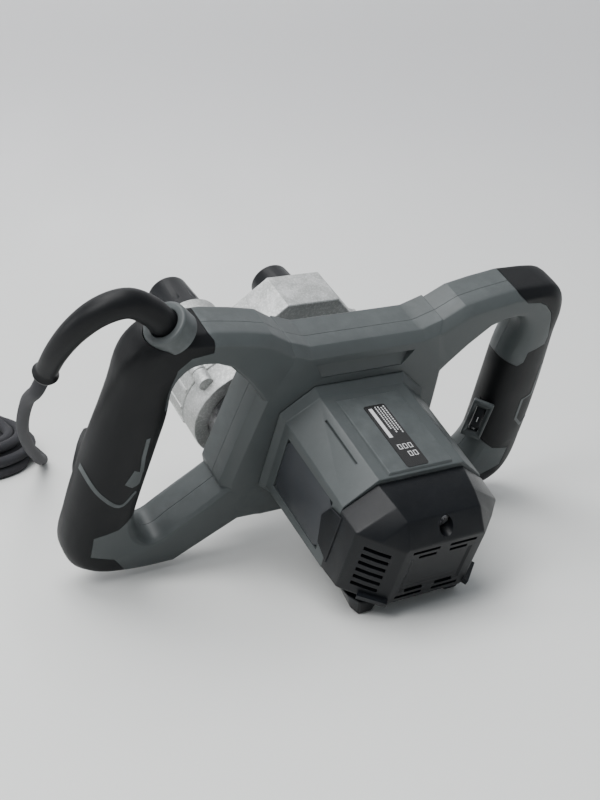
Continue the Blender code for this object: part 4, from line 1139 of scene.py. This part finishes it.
def make_speed_wheel():
    x, y, z = (size / 2 for size in BEZEL)
    rim = box((-x, -y, -z), (x, y, z), 1.1)
    window = box((-WHEEL_WIDTH / 2 - 0.5, -12, -10), (WHEEL_WIDTH / 2 + 0.5, 12, 10))
    scoop = loft([[(-6.4, -15, z + 0.1), (6.4, -15, z + 0.1), (6.4, 15, z + 0.1), (-6.4, 15, z + 0.1)],
                  [(-4.6, -13, z - 1.2), (4.6, -13, z - 1.2), (4.6, 13, z - 1.2), (-4.6, 13, z - 1.2)]])
    piece("speed_bezel", at_wheel_seat(cut(rim, window, scoop)), frame_plastic(),
          node="speed_wheel_bezel")
    half = WHEEL_WIDTH / 2
    profile = [(WHEEL_RADIUS, half - 0.8), (WHEEL_RADIUS, 0.8 - half), (WHEEL_RADIUS - 0.8, -half),
               (3, -half), (3, half), (WHEEL_RADIUS - 0.8, half)]
    knob = turned(profile, sides=72)
    notches = []
    for number in range(24):
        angle = math.tau * (number + 0.5) / 24
        notches.append(rod(((WHEEL_RADIUS + 0.5) * math.cos(angle), (WHEEL_RADIUS + 0.5) * math.sin(angle)),
                           0.9, -half - 1, -half + 1.6, 8))
    knob = cut(knob, joined(*notches))
    lay = Matrix.Rotation(math.radians(90), 4, "Y")
    sink = Matrix.Translation((0, 0, BEZEL[2] / 2 + WHEEL_OUT - WHEEL_RADIUS))
    knob.transform(sink @ lay)
    piece("speed_knob", at_wheel_seat(knob), cap_plastic(), "speed_wheel", "speed_wheel")
    digits = []
    for number in range(6):
        digit = digit_shape(str(number + 1), 4.6)
        digit.transform(Matrix.Translation((0, 0, WHEEL_RADIUS - 0.05)))
        digit.transform(Matrix.Rotation(math.radians(50 * number - 10), 4, "X"))
        digits.append(digit)
    ink = joined(*digits)
    ink.transform(sink)
    piece("speed_numbers", at_wheel_seat(ink), label_ink(), "speed_wheel")


def digit_shape(word, height):
    """Thin raised digit for the dial, centred on the origin."""
    text = bpy.data.curves.new("digit", "FONT")
    text.body = word
    text.size = height * 1.35
    text.extrude = 0.1
    text.align_x = "CENTER"
    text.align_y = "CENTER"
    obj = bpy.data.objects.new("digit", text)
    bpy.context.scene.collection.objects.link(obj)
    bpy.context.view_layer.update()
    mesh = bpy.data.meshes.new_from_object(obj.evaluated_get(bpy.context.evaluated_depsgraph_get()))
    bm = bmesh.new()
    bm.from_mesh(mesh)
    bmesh.ops.remove_doubles(bm, verts=bm.verts, dist=0.0005)
    bpy.data.objects.remove(obj, do_unlink=True)
    bpy.data.curves.remove(text)
    bpy.data.meshes.remove(mesh)
    return bm


class MIXER_OT_fit_controls(bpy.types.Operator):
    """Fit the trigger, its lock-on button and the speed wheel"""
    bl_idname = "mixer.fit_controls"
    bl_label = "Fit controls"

    def execute(self, context):
        make_trigger()
        make_button()
        make_speed_wheel()
        return {"FINISHED"}


# ---------------------------------------------------------------- motor housing

def octagon(w, top, top_v, side, side_v, inset=0.0):
    """Eight corners with a flat top, flat sides and diagonal corners."""
    top_v, side = top_v - inset, side - inset
    top, side_v = top - inset * 0.4, side_v - inset * 0.4
    quarter = [(top, top_v), (side, side_v)]
    right = quarter + [(x, -y) for x, y in reversed(quarter)]
    return [(x, y, w) for x, y in right] + [(-x, y, w) for x, y in reversed(right)]


def make_housing():
    end = GAP + HOUSING_LENGTH
    width, height = HOUSING_HALF_WIDTH, HOUSING_HALF_HEIGHT
    edge = sizes().shell_edge / MM
    shell = softened(loft([
        octagon(GAP, 35.6, height + 5.1, width + 2.6, 33.6),
        octagon(GAP + 1.2, 35.6, height + 5.1, width + 2.6, 33.6),
        octagon(GAP + COLLAR_LENGTH, 33.8, height, width, 30.4),
        octagon(end, 33.7, height - 1.0, width - 0.5, 28.5)]), edge, 8, 3)
    shapes = [rod((0, 0), 42.5, -5, end - 4.3, 64), rod((0, 0), 36, end - 5.3, end + 5, 64)]
    for side in (-1, 1):
        low, high = sorted((side * (width - 2.3), side * (width + 5)))
        shapes.append(box((low, -22.3, 13.7), (high, 22.3, 74.3)))
    grooves = [box((side * 38 - 0.7, height - 5.4, 24), (side * 38 + 0.7, height + 4, 65))
               for side in (-1, 1)]
    shell = cut(shell, *shapes, *grooves)
    top = height + PANEL_RISE
    rows = [[(-26, height - 2, low), (26, height - 2, low), (24.5, top, high), (-24.5, top, high)]
            for low, high in ((11.5, 13.4), (83, 81.9))]
    panel = softened(loft(rows), 0.5, 20)
    shell = fuse(shell, panel)
    piece("motor_shell", shell, frame_plastic(), node="motor_housing", crease=16)


def make_side_panels():
    """Dark panels let into the sides, with a bevelled border."""
    width = HOUSING_HALF_WIDTH
    for side, word in ((-1, "left"), (1, "right")):
        inner, outer = side * (width - 2.0), side * (width - 0.5)
        rim = [(-22, 18), (-18, 14), (18, 14), (22, 18), (22, 70), (18, 74), (-18, 74), (-22, 70)]
        low, high = sorted((inner, outer))
        bm = slab(rim, low, high, 0.5)
        turn = Matrix(((0, 0, 1), (1, 0, 0), (0, 1, 0))).to_4x4()
        bm.transform(turn)
        piece(f"side_inset_{word}", bm, panel_plastic(), node=f"side_panel_{word}")


def label_outline(low_u, high_u, low_w, high_w, radius):
    points = arc((high_u - radius, high_w - radius), radius, 0, 90, 5)
    points += arc((low_u + radius, high_w - radius), radius, 90, 180, 5)
    points += arc((low_u + radius, low_w + radius), radius, 180, 270, 5)
    return points + arc((high_u - radius, low_w + radius), radius, 270, 360, 5)


def lying_flat(bm, height):
    """Turn a shape drawn in (u, w) so that it lies on the top of the housing."""
    turn = Matrix(((1, 0, 0), (0, 0, 1), (0, 1, 0))).to_4x4()
    bm.transform(Matrix.Translation((0, height, 0)) @ turn)
    bmesh.ops.reverse_faces(bm, faces=bm.faces)
    return bm


def make_label():
    """Plain black label with generic bars and boxes in place of print."""
    top = HOUSING_HALF_HEIGHT + PANEL_RISE + 0.05
    plate = lying_flat(slab(label_outline(-10, 7, 23, 81, 1.8), 0, 0.35, 0.08, 1), top)
    piece("label_plate", plate, label_film(), node="rating_label")
    marks = []
    for row, (start, end) in enumerate(((25, 52), (26, 49), (25, 51), (25, 47))):
        for number in range(13):
            low = start + number * (end - start) / 13
            high = low + (end - start) / 19
            marks.append(box((5.4 - row * 2.2 - 0.9, 0, low), (5.4 - row * 2.2, 0.05, high)))
    marks.append(box((-7.4, 0, 26), (-4.6, 0.05, 54)))
    for row, low in ((4.4, 61), (0.4, 61), (-3.6, 61), (4.4, 68), (0.4, 68)):
        frame_mark = box((row - 2.8, 0, low), (row, 0.05, low + 4.4))
        marks.append(cut(frame_mark, box((row - 2.3, -1, low + 0.5), (row - 0.5, 1, low + 3.9))))
    ink = joined(*marks)
    bmesh.ops.translate(ink, verts=ink.verts, vec=(0, top + 0.36, 0))
    piece("label_print", ink, label_ink())


class MIXER_OT_mould_housing(bpy.types.Operator):
    """Mould the motor housing with its side panels and label"""
    bl_idname = "mixer.mould_housing"
    bl_label = "Mould housing"

    def execute(self, context):
        make_housing()
        make_side_panels()
        make_label()
        return {"FINISHED"}


# ---------------------------------------------------------------- end cap

def cap_sections(inset=0.0):
    first = CAP_START - 3 if inset else CAP_START
    last = CAP_END - inset
    return [
        octagon(first, 33.7, 43.3, HOUSING_HALF_WIDTH + 0.9, 26, inset),
        octagon(CAP_START + 19.4 - inset / 2, 30.5, 41.3, HOUSING_HALF_WIDTH + 0.4, 25, inset),
        octagon(CAP_START + 31 - inset, 28.3, 39.1, 44, 24.8, inset),
        octagon(last, 29.5, 25.5, 31, 23.5, inset)]


def side_cutter(side, v, half_length, half_height, along=0.0, depth=8):
    """Slot across the slanted side of the end cap."""
    slot = box((-half_length, v - half_height, -depth), (half_length, v + half_height, depth), 0.4)
    centre = (side * (43.5 + along), 0, CAP_END - 11.5 - along * 0.9)
    lean = Matrix.Rotation(side * math.atan2(21.8, 24.5), 4, "Y")
    slot.transform(Matrix.Translation(centre) @ lean)
    return slot


def foot_rail(side):
    """Rail along the cap's lower corner that ends in the foot."""
    rows = []
    for w, top, low, inner, outer, upper in (
            (87.5, -38, -43.4, 30, 40, 52),
            (110, -36, CAP_FOOT_LOW, 29, 42, 48),
            (117.2, -36, CAP_FOOT_LOW + 0.6, 30, 40, 43)):
        row = [(inner - 2.5, top, w), (inner, low, w), (outer, low, w), (upper, -30, w)]
        rows.append([(side * u, v, w) for u, v, w in row])
    return softened(loft(rows), 1.2, 20)


def make_end_cap():
    cap = softened(loft(cap_sections()), 0.9, 8, 3)
    hollow = loft(cap_sections(3.0))
    bosses = [rod((0, side * CAP_SCREW_V), 8, 96, 140, 48) for side in (-1, 1)]
    cap = cut(cap, cut(hollow, *bosses))
    shapes, blocks = [], []
    for side in (-1, 1):
        place = (0, side * CAP_SCREW_V)
        shapes += [rod(place, 5.3, 112, 140, 40), rod(place, 2.3, 90, 113, 16)]
        blocks.append(foot_rail(side))
        ridge = [Vector((side * 46.5, -23.6, 115.0)), Vector((side * 31.4, -22.6, 128.2))]
        blocks.append(swept(ridge, [2.7, 2.7], 4))
        wall = HOUSING_HALF_WIDTH - 0.1
        low, high = sorted((side * wall, side * (wall + 1.8)))
        outline = [(-18, CAP_START + 4), (-13, 75), (8, 70), (20, 76), (23, CAP_START + 4)]
        tongue = slab(outline, low, high, 0.5)
        tongue.transform(Matrix(((0, 0, 1), (1, 0, 0), (0, 1, 0))).to_4x4())
        blocks.append(tongue)
        for u, v, half in ((-14.5, 21, 10.5), (14.5, 21, 10.5), (-12, 16.2, 7), (12, 16.2, 7)):
            shapes.append(box((u - half, side * v - 1.2, CAP_END - 8),
                              (u + half, side * v + 1.2, CAP_END + 5), 0.5))
    shapes.append(box((-19, -12.8, CAP_END - 1.0), (19, -9.6, CAP_END + 4), 0.5))
    count = sizes().cooling_slots
    for side in (-1, 1):
        for row in range(count):
            v = -16 + row * 32 / (count - 1)
            shapes.append(side_cutter(side, v, 9, 1.5))
    cap = fuse(cap, *blocks)
    panel = loft([[(-22, -14.5, CAP_END - 0.9), (22, -14.5, CAP_END - 0.9), (22, 13.6, CAP_END - 0.9),
                   (-22, 13.6, CAP_END - 0.9)],
                  [(-25.5, -17.5, CAP_END + 0.6), (25.5, -17.5, CAP_END + 0.6), (25.5, 15.4, CAP_END + 0.6),
                   (-25.5, 15.4, CAP_END + 0.6)]])
    cap = cut(cap, panel, *shapes)
    piece("cap_shell", cap, cap_plastic(), node="end_cap", crease=16)


def star_screw(name, node, centre, low, head_low, head_high, head, shank):
    """Screw along w with a six-lobed recess in its head."""
    edge = 0.7
    profile = [(0, head_high), (head - edge, head_high), (head, head_high - edge), (head, head_low),
               (shank, head_low), (shank, low), (0, low)]
    bm = turned(profile, (*centre, 0), sides=32)
    outline = []
    for number in range(36):
        angle = math.tau * number / 36
        reach = head * (0.46 + 0.09 * math.cos(6 * angle))
        outline.append((centre[0] + reach * math.cos(angle), centre[1] + reach * math.sin(angle)))
    bm = cut(bm, slab(outline, head_high - 2.2, head_high + 2))
    piece(name, bm, bright_steel(), node=node)


class MIXER_OT_mould_end_cap(bpy.types.Operator):
    """Mould the end cap with its vents, feet and screws"""
    bl_idname = "mixer.mould_end_cap"
    bl_label = "Mould end cap"

    def execute(self, context):
        make_end_cap()
        for word, side in (("upper", 1), ("lower", -1)):
            star_screw(f"cap_screw_{word}", f"end_cap_screw_{word}", (0, side * CAP_SCREW_V),
                       82, 112.3, 116, 4.9, 2.0)
        return {"FINISHED"}


# ---------------------------------------------------------------- gearbox

def case_outline(lobe, top_half, top, waist, steps=32):
    """Two lobes round the spindles, a chamfered top and a straight waist below."""
    centre = (SPINDLE_U, SPINDLE_V)
    start = -180 - math.degrees(math.asin((waist - SPINDLE_V) / lobe))
    distance = (top_half + top - SPINDLE_U - SPINDLE_V) / math.sqrt(2)
    end = 45 + math.degrees(math.acos(min(1.0, distance / lobe)))
    half = arc(centre, lobe, start, end, steps) + [(top_half, top)]
    return half + mirrored(half)


def case_screw_places():
    angles = [math.radians(-75), math.radians(38)]
    reach = CASE_LOBE + 2
    return [(side * (SPINDLE_U + reach * math.cos(a)), SPINDLE_V + reach * math.sin(a))
            for side in (-1, 1) for a in angles]


def boss_profile():
    """Spindle boss of the outer case, its rim rounded."""
    socket = SLEEVE_BASE_RADIUS + 0.8
    rim = arc((BOSS_RADIUS - 1.2, BOSS_END + 1.2), 1.2, 0, -90, 4)
    return ([(31, CASE_BACK + 2), (31, CASE_BACK - 3), (28.5, CASE_BACK - 4.2), (BOSS_RADIUS, CASE_BACK - 9)]
            + rim + [(socket, BOSS_END), (socket, -138.0), (8.6, -138.0), (8.6, CASE_BACK - 8),
                     (16.3, CASE_BACK - 8), (16.3, CASE_BACK + 2)])


def ribs(centre, inner, outer, low, high, angles, half=1.3):
    """Stiffening ribs standing out from a round wall."""
    shapes = []
    for degrees in angles:
        rib = box((inner, -half, low), (outer, half, high), 0.5)
        rib.transform(Matrix.Translation((*centre, 0)) @ Matrix.Rotation(math.radians(degrees), 4, "Z"))
        shapes.append(rib)
    return shapes


def hollow_outline(top_half, top):
    """Inside of a gear case, a wall thickness in from its outline."""
    return case_outline(CASE_LOBE - CASE_WALL, top_half, top, CASE_WAIST + CASE_WALL)


def make_gear_cases():
    edge = sizes().casting_edge / MM
    seam = CASE_SEAM
    floor = PLATE_BACK - GAP
    outer = case_outline(CASE_LOBE, BLOCK_HALF_TOP + 9, INNER_TOP, CASE_WAIST)
    inner = hollow_outline(BLOCK_HALF_TOP + 7, INNER_TOP - CASE_WALL)
    near = slab(outer, seam + GAP / 2, floor, edge)
    near = cut(near, slab(inner, seam - 5, floor - 4), rod((0, 0), 7, -80, 0))
    bosses = [rod(place, 5.6, seam + GAP / 2, -58, 32, 0.8) for place in case_screw_places()]
    near = fuse(near, *bosses)
    near = cut(near, *[rod(place, 2.3, -80, -59, 12) for place in case_screw_places()])
    piece("gear_case_near", near, case_metal(), node="gear_case_inner", crease=24)
    outer = case_outline(CASE_LOBE, BLOCK_HALF_TOP, BLOCK_TOP, CASE_WAIST)
    inner = hollow_outline(BLOCK_HALF_TOP - 2, BLOCK_TOP - CASE_WALL - 4)
    far = slab(outer, CASE_BACK, seam - GAP / 2, edge, 3)
    bosses = [rod(place, 5.6, -88, seam - GAP / 2, 32, 0.8) for place in case_screw_places()]
    for side in (-1, 1):
        centre = (side * SPINDLE_U, SPINDLE_V)
        angles = [side_angle(side, degrees) for degrees in (-52, -30, -8, 14, 62, -96)]
        bosses += ribs(centre, 26, CASE_LOBE + 0.8, CASE_BACK + 1, seam - 1.5, angles)
    far = fuse(far, *bosses)
    mouth = hollow_outline(BLOCK_HALF_TOP - 2, INNER_TOP - CASE_WALL)
    shapes = [slab(inner, CASE_BACK + 4, -77), slab(mouth, -78, seam + 5)]
    for place in case_screw_places():
        shapes += [rod(place, 2.4, -90, -60, 12), rod(place, 4.6, CASE_BACK - 5, -88, 24)]
    for side in (-1, 1):
        shapes.append(rod((side * SPINDLE_U, SPINDLE_V), 20, CASE_BACK - 5, CASE_BACK + 10, 48))
    far = cut(far, *shapes)
    far = fuse(far, *[turned(boss_profile(), (side * SPINDLE_U, SPINDLE_V, 0)) for side in (-1, 1)])
    piece("gear_case_far", far, case_metal(), node="gear_case_outer", crease=24)


def side_angle(side, degrees):
    return degrees if side > 0 else 180 - degrees


def make_plate():
    edge = sizes().casting_edge / MM
    plate = slab(case_outline(31.0, 16, 44, -38), PLATE_BACK, -FRAME_DEPTH - GAP, edge / 2)
    plate = cut(plate, rod((0, 0), 11.3, -FRAME_DEPTH - GAP - 9.5, 0), rod((0, 0), 7, -80, 0))
    piece("gearbox_plate", plate, plate_metal(), node="gearbox_mount_plate")


class MIXER_OT_cast_gearbox(bpy.types.Operator):
    """Cast the two halves of the gear case and their plate, with bosses and holes for their screws"""
    bl_idname = "mixer.cast_gearbox"
    bl_label = "Cast gearbox"

    def execute(self, context):
        make_plate()
        make_gear_cases()
        return {"FINISHED"}


# ---------------------------------------------------------------- couplings

def make_coupling(side, word):
    """Fluted black sleeve with a rounded tip and a stepped bore in its mouth."""
    centre = (side * SPINDLE_U, SPINDLE_V, 0)
    tip = arc((SLEEVE_TIP_RADIUS - 3.4, SLEEVE_TIP + 3.4), 3.4, 0, -90, 6)
    profile = [(SLEEVE_BASE_RADIUS - 1, SLEEVE_BASE), (SLEEVE_BASE_RADIUS, SLEEVE_BASE - 1),
               (SLEEVE_BASE_RADIUS - 0.2, -155), (SLEEVE_BASE_RADIUS - 0.9, -157)] + tip
    profile += [(11.5, SLEEVE_TIP), (10.5, SLEEVE_TIP + 1), (10.5, -178), (8.5, -178), (8.5, SLEEVE_BASE)]
    bm = turned(profile, centre, sides=96)
    count = sizes().sleeve_flutes
    flute = [(0, -160), (2.6, -160.6), (4.2, -162.2), (5, -165), (5, SLEEVE_TIP - 5), (0, SLEEVE_TIP - 5)]
    flutes = []
    for number in range(count):
        angle = math.tau * (number + 0.5) / count
        place = (centre[0] + 22.6 * math.cos(angle), centre[1] + 22.6 * math.sin(angle))
        flutes.append(turned(flute, (*place, 0), sides=28))
    bm = cut(bm, *flutes)
    piece(f"coupling_grip_{word}", bm, cap_plastic(), f"sleeve_{word}",
          f"coupling_sleeve_{word}", 26)


class MIXER_OT_turn_couplings(bpy.types.Operator):
    """Turn the two fluted coupling sleeves"""
    bl_idname = "mixer.turn_couplings"
    bl_label = "Turn couplings"

    def execute(self, context):
        make_coupling(-1, "left")
        make_coupling(1, "right")
        return {"FINISHED"}


# ---------------------------------------------------------------- pieces that stay from the frame

INSIDE_FINISHES = {
    "steel": bright_steel, "copper": winding_copper, "plate_dark": plate_metal, "plastic_black": cap_plastic,
    "aluminium_cast": case_metal, "frame_grey": frame_plastic, "rubber_black": grip_rubber,
    "cord_rubber": cord_rubber, "button_red": button_plastic, "label_film": label_film,
}


class MIXER_OT_finish_inside(bpy.types.Operator):
    """Give the motor, the gears, the modules and the screws from the frame their finishes"""
    bl_idname = "mixer.finish_inside"
    bl_label = "Finish inside"

    def execute(self, context):
        for part in frame["record"]["subparts"]:
            mesh = frame["nodes"][part["node"]].data
            material = INSIDE_FINISHES[part["material_slot"]]()
            if mesh.materials:
                mesh.materials[0] = material
            else:
                mesh.materials.append(material)
        return {"FINISHED"}


# ---------------------------------------------------------------- add-on

STEPS = (MIXER_OT_set_stage, MIXER_OT_run_cord, MIXER_OT_mould_frame, MIXER_OT_wrap_grips,
         MIXER_OT_fit_controls, MIXER_OT_mould_housing, MIXER_OT_mould_end_cap, MIXER_OT_cast_gearbox,
         MIXER_OT_turn_couplings, MIXER_OT_finish_inside)


class MIXER_PT_panel(bpy.types.Panel):
    """Sizes, colours and steps of the mixer"""
    bl_idname = "MIXER_PT_panel"
    bl_label = "Hand mixer"
    bl_space_type = "VIEW_3D"
    bl_region_type = "UI"
    bl_category = "Mixer"

    def draw(self, context):
        for settings in (context.scene.mixer_sizes, context.scene.mixer_colours):
            column = self.layout.column()
            for name in settings.bl_rna.properties.keys():
                if name not in ("rna_type", "name"):
                    column.prop(settings, name)
        for step in STEPS:
            self.layout.operator(step.bl_idname)


CLASSES = (MixerSizes, MixerColours) + STEPS + (MIXER_PT_panel,)


def register():
    for cls in CLASSES:
        bpy.utils.register_class(cls)
    bpy.types.Scene.mixer_sizes = bpy.props.PointerProperty(type=MixerSizes)
    bpy.types.Scene.mixer_colours = bpy.props.PointerProperty(type=MixerColours)


def unregister():
    del bpy.types.Scene.mixer_colours
    del bpy.types.Scene.mixer_sizes
    for cls in reversed(CLASSES):
        bpy.utils.unregister_class(cls)


def main():
    register()
    bpy.ops.mixer.set_stage()
    bpy.ops.mixer.run_cord()
    bpy.ops.mixer.mould_frame()
    bpy.ops.mixer.wrap_grips()
    bpy.ops.mixer.fit_controls()
    bpy.ops.mixer.mould_housing()
    bpy.ops.mixer.mould_end_cap()
    bpy.ops.mixer.cast_gearbox()
    bpy.ops.mixer.turn_couplings()
    bpy.ops.mixer.finish_inside()


if __name__ == "__main__":
    main()
